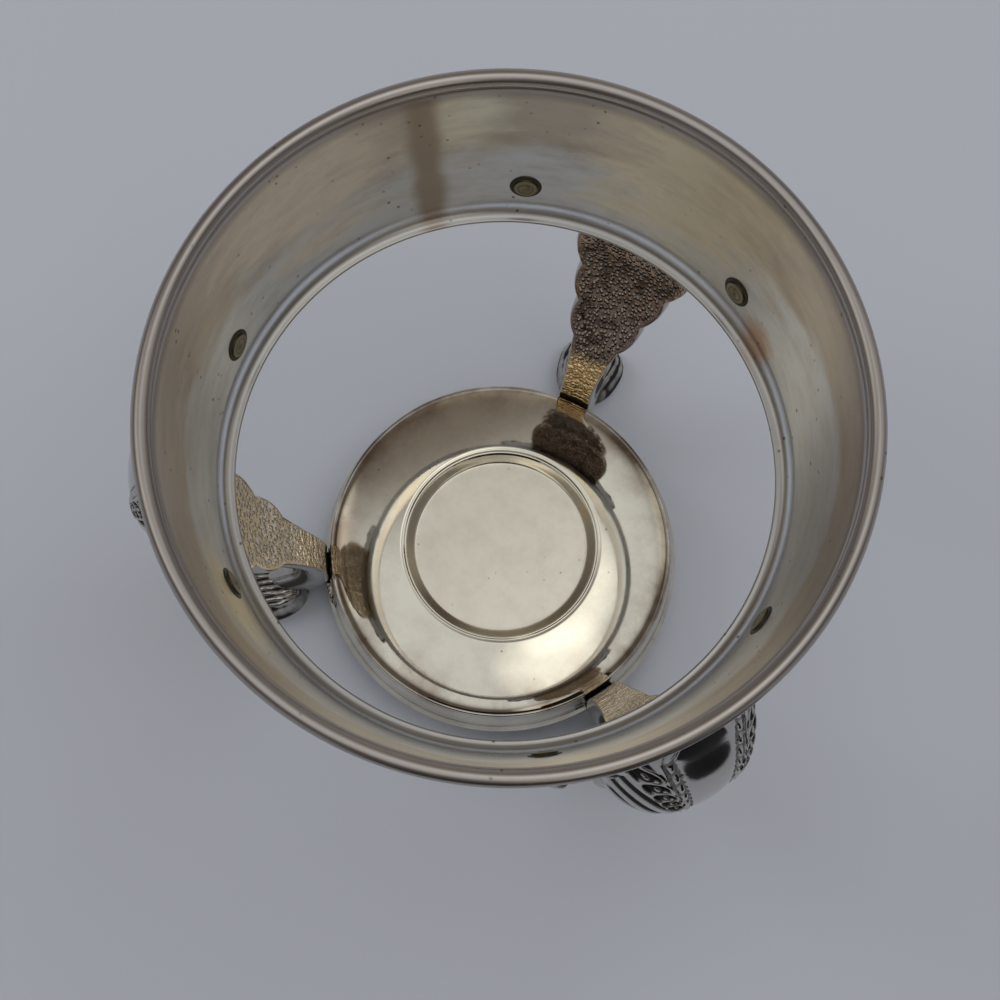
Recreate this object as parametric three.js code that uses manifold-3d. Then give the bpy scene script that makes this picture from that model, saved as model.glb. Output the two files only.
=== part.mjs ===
// Warming stand for a coffee carafe: a flared collar on three cast cabriole legs, with a burner
// dish riveted between the ankles. Millimetres, +Z up. Heights are measured from the table, and
// the whole stand is then lowered so that the origin is the middle of the burner seat.

import * as THREE from 'three';
import { mergeVertices } from 'three/addons/utils/BufferGeometryUtils.js';
import Module from 'manifold-3d';

const wasm = await Module();
wasm.setup();

// Driving dimensions of the collar
const rimRadius = 76;
const standHeight = 150;
const sheet = 0.8;
const beadRadius = 1.9;
const collarDepth = 47.5;
const collarFlare = 6.9;
const collarBulge = 0.5;
const lipReach = 2.4;
const lipRound = 1.8;
const rollEnd = 115;

// Driving dimensions of the burner dish
const dishRadius = 48.1;
const dishEdgeHeight = 25;
const domeRise = 4.6;
const seatRadius = 24.5;
const seatDepth = 3;
const seatWallRun = 2.2;
const ringWidth = 0.9;
const skirtDepth = 11;
const skirtFlare = 1.9;
const skirtBead = 0.8;
const dishSheet = 0.9;
const domeFullness = 2.4;
const edgeRound = 0.4;

// Driving dimensions of the legs
const legCount = 3;
const firstLegAngle = 60;
const legTwist = 2.8;
const footTwist = 4.4;
const kneeReach = 11;
const kneeBelowLip = 3.5;
const kneeDepth = 14.5;
const legBelowRim = 12;
const kneeHalfWidth = 18.7;
const wingAngle = 27.4;
const wingThickness = 7.3;
const wingHalfHeight = 9.5;
const wingEdge = 1.4;
const sideEdge = 3;
const behindCollar = 1.2;
const ankleHalfWidth = 5;
const ankleDepth = 8.2;
const bossHalfWidth = 9;
const strip = 1.9;

// Leaf lobes along the sides of the knee, each shorter than the one above it
const lobeCount = 4;
const lobeLength = 15.5;
const lobeShrink = 0.8;
const lobeRise = 1.7;
const firstNotchAboveKnee = 0.5;

// Graduated scroll beads beside the boss
const beadCount = 5;
const beadSize = 2.3;
const beadShrink = 0.87;
const beadPitch = 5.8;
const beadSunk = 0.75;
const firstBeadAboveKnee = 16;

// Reeded shell foot
const footBeyondRim = 1.5;
const footLength = 20.5;
const footHalfWidth = 9.8;
const footFan = 0.14;
const footHeight = 10.5;
const footEdge = 1.6;
const footReeds = 7;
const reedRise = 0.9;
const footSquareness = 2.4;
const toeDrop = 0.25;
const shinFoot = 3;

// Driving dimensions of the rivets
const rivetAngle = 24.6;
const rivetAboveLip = 10.1;
const rivetHead = 3.3;
const rivetHeadRise = 1.1;
const rivetShank = 1.5;
const rivetGrip = 3.2;
const dimpleRadius = 1.5;
const dimpleDepth = 0.7;
const dishRivetDrop = 5.4;

// Clearances
const seatGap = 0.3;
const holeGap = 0.35;

// Mesh fineness
const turnSteps = 48;
const rivetSteps = 8;
const footSteps = 10;

const radians = THREE.MathUtils.degToRad;
const point = (r, h) => new THREE.Vector2(r, h);
const clamp = THREE.MathUtils.clamp;
const fromBelow = -60;

// Values worked out from the driving dimensions
const beadHeight = standHeight - beadRadius;
const beadCentre = rimRadius - beadRadius;
const wallTopInner = rimRadius - 2 * beadRadius;
const lipHeight = standHeight - collarDepth;
const wallFoot = lipHeight + lipRound;
const ringTop = dishEdgeHeight + domeRise;
const seatHeight = ringTop - seatDepth;
const skirtFoot = dishEdgeHeight - skirtDepth;
const beadEnd = skirtFoot + 2.2 * skirtBead;
const domeStart = seatRadius + seatWallRun + ringWidth;
const kneeRadius = rimRadius + kneeReach;
const kneeHeight = lipHeight - kneeBelowLip;
const legTop = standHeight - legBelowRim;
const rivetHeight = lipHeight + rivetAboveLip;
const dishRivetHeight = dishEdgeHeight - dishRivetDrop;
const ankleHeight = dishEdgeHeight + 4;
const ankleBack = dishRadius + 1.6;
const footReach = rimRadius + footBeyondRim;
const footMiddle = footReach - footLength / 2;
const firstBeadHeight = kneeHeight + firstBeadAboveKnee;
const firstNotchHeight = kneeHeight + firstNotchAboveKnee;

function solidOf(geometry) {
  const bare = geometry.clone();
  bare.deleteAttribute('normal');
  bare.deleteAttribute('uv');
  const merged = mergeVertices(bare, 1e-4);
  return new wasm.Manifold(new wasm.Mesh({
    numProp: 3,
    vertProperties: new Float32Array(merged.attributes.position.array),
    triVerts: new Uint32Array(merged.index.array),
  }));
}

function geometryOf(solid) {
  const mesh = solid.getMesh();
  const geometry = new THREE.BufferGeometry();
  geometry.setAttribute('position', new THREE.BufferAttribute(mesh.vertProperties, 3));
  geometry.setIndex(new THREE.BufferAttribute(mesh.triVerts, 1));
  return geometry;
}

// A profile of radius and height turned about the upright axis
function turned(profile, steps = turnSteps) {
  return new THREE.LatheGeometry(profile, steps).rotateX(Math.PI / 2);
}

// Points on an arc about a centre, in degrees, both ends included
function arc(r, h, radius, from, to, steps) {
  return Array.from({ length: steps + 1 }, (_, i) => {
    const angle = radians(from + (to - from) * i / steps);
    return point(r + radius * Math.cos(angle), h + radius * Math.sin(angle));
  });
}

// Inner radius of the collar's wall: a straight flare with a slight outward belly
function collarInner(height) {
  const t = clamp((height - wallFoot) / (beadHeight - wallFoot), 0, 1);
  return wallTopInner - collarFlare * (1 - t) + collarBulge * 4 * t * (1 - t);
}

const collarOuter = (height) => collarInner(height) + sheet;

function heightsBetween(from, to, steps) {
  return Array.from({ length: steps + 1 }, (_, i) => from + (to - from) * i / steps);
}

// Collar: up the outside of the wall, round the inside of the roll and back over its top, then down
// the inside of the wall to the lip
function makeCollar() {
  const inward = collarInner(wallFoot) + sheet - lipRound;
  const profile = [
    point(inward - lipReach + sheet, lipHeight),
    ...arc(inward, lipHeight + lipRound, lipRound, -90, 0, 2),
    ...heightsBetween(wallFoot, beadHeight, 4).slice(1, -1).map((h) => point(collarOuter(h), h)),
    ...arc(beadCentre, beadHeight, beadRadius - sheet, 180, -rollEnd, 5),
    ...arc(beadCentre, beadHeight, beadRadius, -rollEnd, 180, 8),
    ...heightsBetween(beadHeight, wallFoot, 4).slice(1, -1).map((h) => point(collarInner(h), h)),
    ...arc(inward, lipHeight + lipRound, lipRound - sheet, 0, -90, 1),
    point(inward - lipReach + sheet, lipHeight + sheet),
  ];
  profile.push(profile[0].clone());
  return solidOf(turned(profile));
}

// The space that the collar takes, grown by the seat gap, which shapes the backs of the wings
function collarSpace() {
  const inside = 40;
  const profile = [
    point(inside, lipHeight - seatGap),
    point(collarOuter(wallFoot) + seatGap - lipRound, lipHeight - seatGap),
    ...arc(collarOuter(wallFoot) - lipRound, wallFoot, lipRound + seatGap, fromBelow, 0, 2),
    ...heightsBetween(wallFoot, beadHeight, 4).slice(1).map((h) => point(collarOuter(h) + seatGap, h)),
    point(inside, beadHeight),
    point(inside, lipHeight - seatGap),
  ];
  return solidOf(turned(profile));
}

function makeRimWire() {
  const wireRadius = beadRadius - sheet - seatGap;
  return turned(arc(beadCentre, beadHeight, wireRadius, -180, 180, 6));
}

// Dish, upper side from the seat's middle out: flat seat, sloping wall, ring, dome
function domeHeight(r) {
  const t = clamp((r - domeStart) / (dishRadius - domeStart), 0, 1);
  return ringTop - domeRise * t ** domeFullness;
}

function skirtRadius(height) {
  return dishRadius + skirtFlare * (dishEdgeHeight - height) / skirtDepth;
}

function makeDish() {
  const domeSteps = [0.4, 0.68, 0.88];
  const domeRadii = domeSteps.map((t) => domeStart + (dishRadius - domeStart) * t);
  const beadAt = skirtRadius(skirtFoot) + skirtBead - dishSheet;
  const shoulder = dishEdgeHeight - dishSheet - edgeRound;
  const profile = [
    point(0, seatHeight - dishSheet),
    point(seatRadius + edgeRound, seatHeight - dishSheet),
    point(seatRadius + seatWallRun + edgeRound, ringTop - dishSheet),
    ...domeRadii.slice(0, -1).map((r) => point(r, domeHeight(r) - dishSheet)),
    point(dishRadius - 2 * dishSheet, dishEdgeHeight - edgeRound),
    point(skirtRadius(shoulder) - dishSheet, shoulder),
    point(skirtRadius(skirtFoot + 2 * skirtBead) - dishSheet, skirtFoot + 2 * skirtBead),
    ...arc(beadAt, skirtFoot + skirtBead, skirtBead, 220, 390, 3),
    point(skirtRadius(beadEnd), beadEnd),
    point(dishRadius, dishEdgeHeight - edgeRound),
    ...domeRadii.reverse().map((r) => point(r, domeHeight(r))),
    point(domeStart, ringTop),
    point(seatRadius + seatWallRun, ringTop),
    point(seatRadius + edgeRound, seatHeight + edgeRound),
    point(seatRadius - edgeRound, seatHeight),
    point(0, seatHeight),
  ];
  return solidOf(turned(profile));
}

// The space that the skirt takes, grown by the seat gap, which shapes the backs of the ankles
function dishSpace() {
  const grown = skirtBead + seatGap;
  const foot = skirtRadius(skirtFoot) + skirtBead - dishSheet;
  const profile = [
    point(0, skirtFoot - seatGap),
    point(foot, skirtFoot - seatGap),
    ...arc(foot, skirtFoot + skirtBead, grown, fromBelow, 30, 2),
    point(skirtRadius(beadEnd) + seatGap, beadEnd + seatGap),
    point(dishRadius + seatGap, dishEdgeHeight - edgeRound + seatGap),
    point(dishRadius - 1, dishEdgeHeight + edgeRound + seatGap),
    point(0, ringTop),
  ];
  return solidOf(turned(profile));
}

// Smooth curve of a value against height, through a few chosen stations
function curveOf(stations) {
  const curve = new THREE.CatmullRomCurve3(
    stations.map(([h, value]) => new THREE.Vector3(value, h, 0)), false, 'centripetal');
  const samples = curve.getSpacedPoints(240);
  return (height) => {
    let i = samples.findIndex((p) => p.y >= height);
    if (i < 0) return samples[samples.length - 1].x;
    if (i === 0) return samples[0].x;
    const a = samples[i - 1];
    const b = samples[i];
    return a.x + (b.x - a.x) * (height - a.y) / (b.y - a.y || 1);
  };
}

const lipOuter = collarOuter(wallFoot);

// Leg outline seen from the side: back and front radius against height
const legBack = curveOf([
  [shinFoot, ankleBack + 8],
  [skirtFoot * 0.6, ankleBack + 4.6],
  [skirtFoot, ankleBack + 1.4],
  [ankleHeight, ankleBack],
  [ankleHeight + 12, ankleBack + 4.8],
  [ankleHeight + 30, ankleBack + 15.8],
  [kneeHeight - 19, kneeRadius - kneeDepth],
  [lipHeight, lipOuter + 1],
  [legTop, lipOuter + 1],
]);

const legFront = curveOf([
  [shinFoot, footMiddle + 4],
  [footHeight - 1, footMiddle + 1],
  [skirtFoot + 2, ankleBack + ankleDepth + 3],
  [ankleHeight - 4, ankleBack + ankleDepth],
  [ankleHeight + 5, ankleBack + ankleDepth + 0.6],
  [ankleHeight + 16, ankleBack + ankleDepth + 7],
  [ankleHeight + 36, ankleBack + ankleDepth + 18.6],
  [kneeHeight - 14, kneeRadius - 1.9],
  [kneeHeight, kneeRadius],
  [kneeHeight + 14, kneeRadius - 2.6],
  [kneeHeight + 27, kneeRadius - 8.4],
  [legTop, collarOuter(legTop) + 1.6],
]);

// Half width of the leg's body against height, without the wings
const legHalfWidth = curveOf([
  [shinFoot, ankleHalfWidth - 0.6],
  [skirtFoot, ankleHalfWidth + 0.2],
  [dishEdgeHeight - 2, ankleHalfWidth + 0.1],
  [ankleHeight + 4, ankleHalfWidth],
  [ankleHeight + 14, ankleHalfWidth + 1.2],
  [ankleHeight + 32, ankleHalfWidth + 5.8],
  [kneeHeight - 24, kneeHalfWidth - 4.2],
  [kneeHeight - 6, kneeHalfWidth],
  [kneeHeight + 10, kneeHalfWidth - 0.5],
  [legTop - 9, kneeHalfWidth - 7],
  [legTop, 4],
]);

// Half width of the smooth boss, which narrows down the shin
const bossWidth = curveOf([
  [shinFoot, 1.6],
  [ankleHeight, 1.4],
  [kneeHeight - 40, 2.6],
  [kneeHeight, bossHalfWidth - 2.4],
  [kneeHeight + 25, bossHalfWidth],
  [legTop, 2],
]);

// Height of the notch above lobe i, where i may be a fraction
function notchHeight(i) {
  return firstNotchHeight - lobeLength * (1 - lobeShrink ** i) / (1 - lobeShrink);
}

const lobeTop = notchHeight(0);
const lobeFoot = notchHeight(lobeCount);

// Bulge of the lobes at a height: 0 at each notch, 1 in the middle of a lobe
function lobe(height) {
  if (height >= lobeTop || height <= lobeFoot) return 0;
  const share = 1 - (lobeTop - height) * (1 - lobeShrink) / lobeLength;
  return Math.abs(Math.sin(Math.PI * Math.log(share) / Math.log(lobeShrink)));
}

// Heights that cut every lobe into parts, from the lowest lobe up
function lobeHeights(cuts) {
  const steps = cuts * lobeCount;
  return Array.from({ length: steps }, (_, i) => notchHeight(lobeCount - i / cuts));
}

// Share of the wing at a height: 0 above and below it, 1 at the rivets
function wingShare(height) {
  const t = (height - rivetHeight) / wingHalfHeight;
  return Math.abs(t) < 1 ? Math.sqrt(1 - t * t) : 0;
}

// Radius of the wings' faces near their ends
const wingFace = collarOuter(rivetHeight) + wingThickness * 0.6;

function halfWidthAt(height) {
  const body = legHalfWidth(height) + lobeRise * lobe(height);
  const wing = radians(wingAngle) * wingFace * wingShare(height) ** 0.6;
  return Math.max(body, wing);
}

// Front radius at an arc distance v from the leg's middle
function frontAt(height, v, halfWidth) {
  const body = legHalfWidth(height);
  const back = Math.max(legBack(height), height > lipHeight ? collarOuter(height) + seatGap : 0);
  const edge = back + Math.min(sideEdge, (legFront(height) - back) * 0.45);
  const t = clamp(Math.abs(v) / Math.min(body, halfWidth), 0, 1);
  const knee = edge + (legFront(height) - edge) * Math.sqrt(1 - t ** 3);
  const across = Math.abs(v) / (halfWidth + wingEdge);
  const crown = wingShare(height) * Math.sqrt(1 - across ** 8);
  const wing = collarOuter(height) + seatGap + wingEdge + (wingThickness - wingEdge) * crown;
  return wingShare(height) > 0 ? Math.max(knee, wing) : knee;
}

// Columns of the front, from the middle out: boss, groove, beaded strip, groove, leaf
function frontColumns(height, halfWidth) {
  const body = Math.min(legHalfWidth(height), halfWidth);
  const boss = Math.min(bossWidth(height), body * 0.42);
  const band = Math.min(strip, body * 0.14);
  const start = boss + band * 1.5;
  const leaf = [0.35, 0.7, 0.92, 1].map((t) => [start + (halfWidth - start) * t, 0]);
  leaf[0][1] = 0.5;
  leaf[1][1] = 0.6 * lobe(height);
  return [[0, 0.5], [boss * 0.65, 0.4], [boss, -0.5], [boss + band * 0.4, 0.25],
    [boss + band, 0.25], [start, -0.6], ...leaf];
}

// The leg leans a little to one side: the ankle is turned round the axis from the knee, in degrees,
// and the foot a little further
function twistAt(height) {
  const t = clamp((kneeHeight - height) / (kneeHeight - ankleHeight), 0, 1);
  return legTwist * t * t * (3 - 2 * t);
}

// One closed ring of the leg at a height: back from one side to the other, then the front. The
// side walls are radial, and v is the arc distance on the front's own radius.
function legRing(height) {
  const halfWidth = halfWidthAt(height);
  const halfAngle = halfWidth / frontAt(height, halfWidth, halfWidth);
  const backRadius = legBack(height) - (height > lipHeight ? behindCollar : 0);
  const middle = radians(twistAt(height));
  const ring = [];
  const add = (radius, fromMiddle) => {
    const angle = middle + fromMiddle;
    ring.push([radius * Math.cos(angle), radius * Math.sin(angle), height]);
  };
  const backSteps = 4;
  for (let i = 0; i <= backSteps; i += 1) {
    add(backRadius, halfAngle * (1 - 2 * i / backSteps));
  }
  const relief = Math.min(1, (legFront(height) - backRadius) / 9);
  const front = frontColumns(height, halfWidth).map(([v, rise]) => {
    const radius = frontAt(height, v, halfWidth);
    return [radius + rise * relief, v / radius];
  });
  front.slice().reverse().forEach(([radius, angle]) => add(radius, -angle));
  front.slice(1).forEach(([radius, angle]) => add(radius, angle));
  return ring;
}

// Loft through rings of equal length, closed by a fan at each end
function loft(rings) {
  const n = rings[0].length;
  const positions = rings.flat();
  const index = [];
  for (let i = 0; i + 1 < rings.length; i += 1) {
    for (let j = 0; j < n; j += 1) {
      const k = (j + 1) % n;
      const a = i * n + j;
      const b = i * n + k;
      index.push(a, b, b + n, a, b + n, a + n);
    }
  }
  const close = (ring, offset, flip) => {
    const middle = ring.reduce((s, p) => s.map((x, k) => x + p[k] / n), [0, 0, 0]);
    positions.push(middle);
    const m = positions.length - 1;
    for (let j = 0; j < n; j += 1) {
      const k = (j + 1) % n;
      index.push(...(flip ? [m, offset + k, offset + j] : [m, offset + j, offset + k]));
    }
  };
  close(rings[0], 0, true);
  close(rings[rings.length - 1], (rings.length - 1) * n, false);
  const geometry = new THREE.BufferGeometry();
  geometry.setAttribute('position', new THREE.Float32BufferAttribute(positions.flat(), 3));
  geometry.setIndex(index);
  return geometry;
}

function legHeights() {
  return [
    ...heightsBetween(shinFoot, skirtFoot, 2).slice(0, -1),
    ...heightsBetween(skirtFoot, lobeFoot, 6).slice(0, -1),
    ...lobeHeights(3),
    ...heightsBetween(lobeTop, rivetHeight + wingHalfHeight, 7).slice(0, -1),
    ...heightsBetween(rivetHeight + wingHalfHeight, legTop, 3),
  ];
}

// A rod whose axis lies in the leg's middle plane or a plane turned by an angle, leaning by a slope
function placeOnWall(geometry, radius, height, angle, lean) {
  return geometry
    .rotateY(Math.PI / 2 - radians(lean))
    .translate(radius, 0, height)
    .rotateZ(radians(angle));
}

const wallLean = THREE.MathUtils.radToDeg(Math.atan2(collarFlare, beadHeight - wallFoot));
const skirtLean = THREE.MathUtils.radToDeg(Math.atan2(skirtFlare, skirtDepth));

// Rivet standing on the sheet's inner face: the axis runs from the head out into the casting
function rivetProfile(grip) {
  return [
    point(0, -seatGap - rivetHeadRise + dimpleDepth),
    point(dimpleRadius * 0.6, -seatGap - rivetHeadRise + dimpleDepth * 0.8),
    point(dimpleRadius, -seatGap - rivetHeadRise),
    point(rivetHead * 0.75, -seatGap - rivetHeadRise * 0.85),
    point(rivetHead, -seatGap - rivetHeadRise * 0.35),
    point(rivetHead, -seatGap),
    point(rivetShank, -seatGap),
    point(rivetShank, grip),
    point(0, grip),
  ];
}

function makeRivet(radius, height, angle, lean, thickness) {
  const profile = rivetProfile(thickness + seatGap + rivetGrip);
  const body = turned(profile, rivetSteps);
  return placeOnWall(body, radius, height, angle, lean);
}

function rivetHole(radius, height, angle, lean, thickness) {
  const length = thickness + 2 * seatGap + rivetGrip + 2;
  const rod = new THREE.CylinderGeometry(rivetShank + holeGap, rivetShank + holeGap, length, rivetSteps);
  rod.rotateX(Math.PI / 2).translate(0, 0, length / 2 - 2);
  return solidOf(placeOnWall(rod, radius, height, angle, lean));
}

const collarRivetAt = (angle) => [collarInner(rivetHeight), rivetHeight, angle, -wallLean, sheet];
const dishRivetAt = (angle) =>
  [skirtRadius(dishRivetHeight) - dishSheet, dishRivetHeight, angle + legTwist, skirtLean, dishSheet];

// One cross-section of the shell foot, from t = -1 at the heel to 1 at the toe: a flat base, an
// upright edge and an arched top, whose reeds fan out with the width and deepen towards the toe
function footRing(t) {
  const oval = (1 - Math.abs(t) ** footSquareness) ** (1 / footSquareness);
  const halfWidth = footHalfWidth * oval * (1 + footFan * t);
  const top = (footHeight - footEdge) * oval * (1 - toeDrop * Math.max(t, 0));
  const x = footMiddle + footLength / 2 * t;
  const steps = 2 * footReeds;
  const ring = [[x, -halfWidth, 0], [x, halfWidth, 0]];
  for (let i = 0; i <= steps; i += 1) {
    const q = 1 - 2 * i / steps;
    const reed = (i % 2) * reedRise * oval * (0.6 + 0.4 * t);
    ring.push([x, halfWidth * q, footEdge * oval + top * Math.sqrt(1 - q ** 4) + reed]);
  }
  return ring;
}

function makeFoot() {
  const turns = heightsBetween(-80, 80, footSteps).map((degrees) => Math.sin(radians(degrees)));
  return solidOf(loft(turns.map(footRing)).rotateZ(radians(footTwist)));
}

// Scroll bead i beside the boss, sunk into the front of the leg
function makeScrollBead(i, side) {
  const size = beadSize * beadShrink ** i;
  const height = firstBeadHeight - beadPitch * (1 - beadShrink ** i) / (1 - beadShrink);
  const v = bossWidth(height) + strip + 0.8 * size;
  const radius = frontAt(height, v, halfWidthAt(height)) - beadSunk * size;
  const angle = side * v / radius;
  const bead = new THREE.SphereGeometry(size, 7, 5);
  return bead.translate(radius * Math.cos(angle), radius * Math.sin(angle), height);
}

function makeLeg() {
  let leg = solidOf(loft(legHeights().map(legRing))).add(makeFoot());
  for (let i = 0; i < beadCount; i += 1) {
    for (const side of [-1, 1]) leg = leg.add(solidOf(makeScrollBead(i, side)));
  }
  leg = leg.subtract(collarSpace()).subtract(dishSpace());
  for (const side of [-1, 1]) {
    leg = leg.subtract(rivetHole(...collarRivetAt(side * rivetAngle)));
  }
  return leg.subtract(rivetHole(...dishRivetAt(0)));
}

const finishes = {
  collar: { color: 0xbdb9a6, roughness: 0.34, metalness: 1 },
  dish: { color: 0xd8d2c2, roughness: 0.12, metalness: 1 },
  casting: { color: 0x6f665a, roughness: 0.5, metalness: 1 },
  rivet: { color: 0x5c5a44, roughness: 0.5, metalness: 1 },
};

const stand = new THREE.Group();
const aboveTable = new THREE.Group();
aboveTable.position.z = -seatHeight;
stand.add(aboveTable);

function place(name, geometry, finish, angle = 0) {
  const mesh = new THREE.Mesh(geometry, new THREE.MeshStandardMaterial(finishes[finish]));
  mesh.name = name;
  mesh.rotation.z = radians(angle);
  aboveTable.add(mesh);
}

const legNames = ['leg_back_right', 'leg_left', 'leg_front_right'];
const legAngles = legNames.map((_, i) => firstLegAngle + 360 / legCount * i);

let collar = makeCollar();
let dish = makeDish();
for (const angle of legAngles) {
  for (const side of [-1, 1]) {
    collar = collar.subtract(rivetHole(...collarRivetAt(angle + side * rivetAngle)));
  }
  dish = dish.subtract(rivetHole(...dishRivetAt(angle)));
}
place('collar_band', geometryOf(collar), 'collar');
place('rim_wire', makeRimWire(), 'rivet');
place('burner_dish', geometryOf(dish), 'dish');

const legGeometry = geometryOf(makeLeg());
legNames.forEach((name, i) => {
  place(name, legGeometry.clone(), 'casting', legAngles[i]);
  [-1, 1].forEach((side, k) => {
    place(`${name}_rivet_${k + 1}`, makeRivet(...collarRivetAt(side * rivetAngle)), 'rivet', legAngles[i]);
  });
  place(`${name}_dish_rivet`, makeRivet(...dishRivetAt(0)), 'rivet', legAngles[i]);
});

export default stand;
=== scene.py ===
# Finished surfaces and studio for a warming stand: a flared collar on three cast legs, with a
# burner dish between the ankles. Metres, +Z up, with the origin in the middle of the burner seat.
import math
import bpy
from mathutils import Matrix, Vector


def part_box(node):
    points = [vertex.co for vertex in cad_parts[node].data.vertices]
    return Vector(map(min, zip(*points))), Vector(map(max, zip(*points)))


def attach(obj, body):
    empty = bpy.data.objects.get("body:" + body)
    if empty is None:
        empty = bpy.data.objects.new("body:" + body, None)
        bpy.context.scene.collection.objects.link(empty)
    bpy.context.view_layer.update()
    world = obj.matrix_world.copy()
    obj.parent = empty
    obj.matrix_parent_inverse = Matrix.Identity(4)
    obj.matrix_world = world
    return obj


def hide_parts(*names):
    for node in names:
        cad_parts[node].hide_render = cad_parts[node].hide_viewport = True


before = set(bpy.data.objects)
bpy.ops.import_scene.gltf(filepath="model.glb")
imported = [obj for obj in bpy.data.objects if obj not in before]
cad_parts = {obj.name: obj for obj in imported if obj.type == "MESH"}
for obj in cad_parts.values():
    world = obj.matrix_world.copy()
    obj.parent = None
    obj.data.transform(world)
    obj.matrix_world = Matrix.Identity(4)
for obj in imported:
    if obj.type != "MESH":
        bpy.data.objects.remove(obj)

from types import SimpleNamespace

import bpy
import numpy as np
from bpy.props import FloatProperty, FloatVectorProperty, IntProperty, PointerProperty
from mathutils import Matrix, Vector

bl_info = {
    "name": "Carafe warming stand",
    "version": (1, 0, 0),
    "blender": (4, 5, 0),
    "location": "3D View > Sidebar > Stand",
    "description": "Builds the finished surfaces of a silver plated warming stand, and a plain studio for it",
    "category": "Add Mesh",
}

MM = 0.001
# Each leg's angle in degrees, and how far the plate on its back is worn and painted lighter, for worn plate
# and also for the light that falls on that leg
LEGS = {"leg_back_right": (60, 0.0), "leg_left": (180, 0.8), "leg_front_right": (300, 1.0)}
# Collar rivets: angle to each side of the leg. All rivets: columns round, and how deep the shank goes
RIVET_SIDE, RIVET_COLUMNS, RIVET_GRIP = math.radians(24.6), 56, 3.2
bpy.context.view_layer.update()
COLLAR_LOW, COLLAR_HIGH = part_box("collar_band")
DISH_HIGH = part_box("burner_dish")[1]
TABLE = -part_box("leg_left")[0].z


def length(name, description, default, low=0.0):
    """A length in metres, from a default in millimetres"""
    return FloatProperty(name=name, description=description, default=default * MM, min=low * MM,
                         subtype="DISTANCE", unit="LENGTH", precision=5)


def angle(name, description, degrees):
    """An angle, from a default in degrees"""
    return FloatProperty(name=name, description=description, default=math.radians(degrees),
                         subtype="ANGLE", unit="ROTATION")


def colour(name, description, default):
    """A colour from an sRGB hex value"""
    return FloatVectorProperty(name=name, description=description, default=linear(default)[:3],
                               min=0.0, max=1.0, size=3, subtype="COLOR")


def linear(hex_value):
    """An sRGB hex value as linear red, green, blue and alpha"""
    parts = [int(hex_value[i:i + 2], 16) / 255 for i in (1, 3, 5)]
    return tuple(c / 12.92 if c <= 0.04045 else ((c + 0.055) / 1.055) ** 2.4 for c in parts) + (1.0,)


class StandSizes(bpy.types.PropertyGroup):
    """Sizes of the stand. Heights are measured from the table"""
    rim: length("Rim radius", "Outer radius of the rolled rim", COLLAR_HIGH.x / MM)
    height: length("Height", "From the table to the top of the rim", (COLLAR_HIGH.z + TABLE) / MM)
    lip_height: length("Lip height", "From the table to the lip", (COLLAR_LOW.z + TABLE) / MM)
    sheet: length("Sheet", "Thickness of the collar's sheet", 0.8)
    bead: length("Roll", "Radius of the rolled rim's section", 1.9)
    flare: length("Flare", "How much wider the collar is at the rim than at the lip", 6.9)
    belly: length("Belly", "Outward belly of the collar's wall", 0.5)
    lip_reach: length("Lip", "How far the lip is turned in", 2.4)
    lip_round: length("Lip bend", "Outer radius of the bend above the lip", 1.8)
    seat_height: length("Seat height", "From the table to the burner seat", TABLE / MM)
    ring_top: length("Dish height", "From the table to the raised ring", (DISH_HIGH.z + TABLE) / MM)
    dish_edge: length("Dish edge height", "From the table to the dish's edge", 25.0)
    dish: length("Dish radius", "Radius of the dome's edge", 48.1)
    seat: length("Seat radius", "Radius of the sunken burner seat", 24.5)
    skirt_foot: length("Skirt foot", "From the table to the foot of the skirt", 14.0)
    skirt_flare: length("Skirt flare", "How much wider the skirt is at its foot", 1.9)
    knee_reach: length("Knee reach", "How far the knees stand out beyond the rim", 11.0)
    knee_half: length("Knee half width", "Half width of the leg at the knee", 18.7)
    ankle_half: length("Ankle half width", "Half width of the leg at the ankle", 5.0)
    foot_half: length("Foot half width", "Half width of the shell foot", 9.8)
    foot_length: length("Foot length", "Length of the shell foot", 20.5)
    rivet: length("Rivet radius", "Radius of the rivet heads", 3.3)
    twist: angle("Leg twist", "Turn of the ankles round from the knees", 2.8)
    foot_twist: angle("Foot twist", "Turn of the feet round from the knees", 4.4)


class StandFinish(bpy.types.PropertyGroup):
    """Colours of the stand's metals and of the studio"""
    silver: colour("Silver", "Clean silver plate", "#E3DDCE")
    silver_dull: colour("Dull silver", "Brushed silver plate", "#ECEFF2")
    tarnish: colour("Tarnish", "Brown tarnish on worn plate", "#978274")
    casting: colour("Casting", "Plated casting", "#BCB8B4")
    patina: colour("Patina", "Dark oxide in the hollows of the casting", "#100E0D")
    # Its yellow is made lighter for the light the neck catches from above
    worn: colour("Worn plate", "Yellow metal where the plate is thin", "#FFDFA6")
    rivet: colour("Rivets", "Tarnished rivet heads", "#938C72")
    table: colour("Table", "Pale table top and backdrop", "#A9ADB6")


class StandStudio(bpy.types.PropertyGroup):
    """Camera and lights"""
    camera_back: length("Camera distance", "Level distance from the stand's axis", 96.0)
    camera_height: length("Camera height", "Height above the burner seat", 397.5)
    camera_turn: angle("Camera turn", "Turn of the camera round the stand's axis", -5.2)
    camera_yaw: angle("Yaw", "Turn of the view to one side of the axis", -0.57)
    camera_pitch: angle("Pitch", "How steeply the camera looks down", 74.62)
    camera_roll: angle("Roll", "Roll of the camera about its own line of sight", 3.27)
    camera_lens: length("Lens", "Focal length on a sensor 36 mm wide", 52.2)
    key_power: FloatProperty(name="Key power", description="Power of the large lamp above",
                             default=7.8, min=0.0, unit="POWER")
    side_power: FloatProperty(name="Side power", description="Power of the lamp at the side",
                              default=3.0, min=0.0, unit="POWER")
    columns: IntProperty(name="Columns", description="Faces round a turned piece", default=384, min=24)


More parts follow.
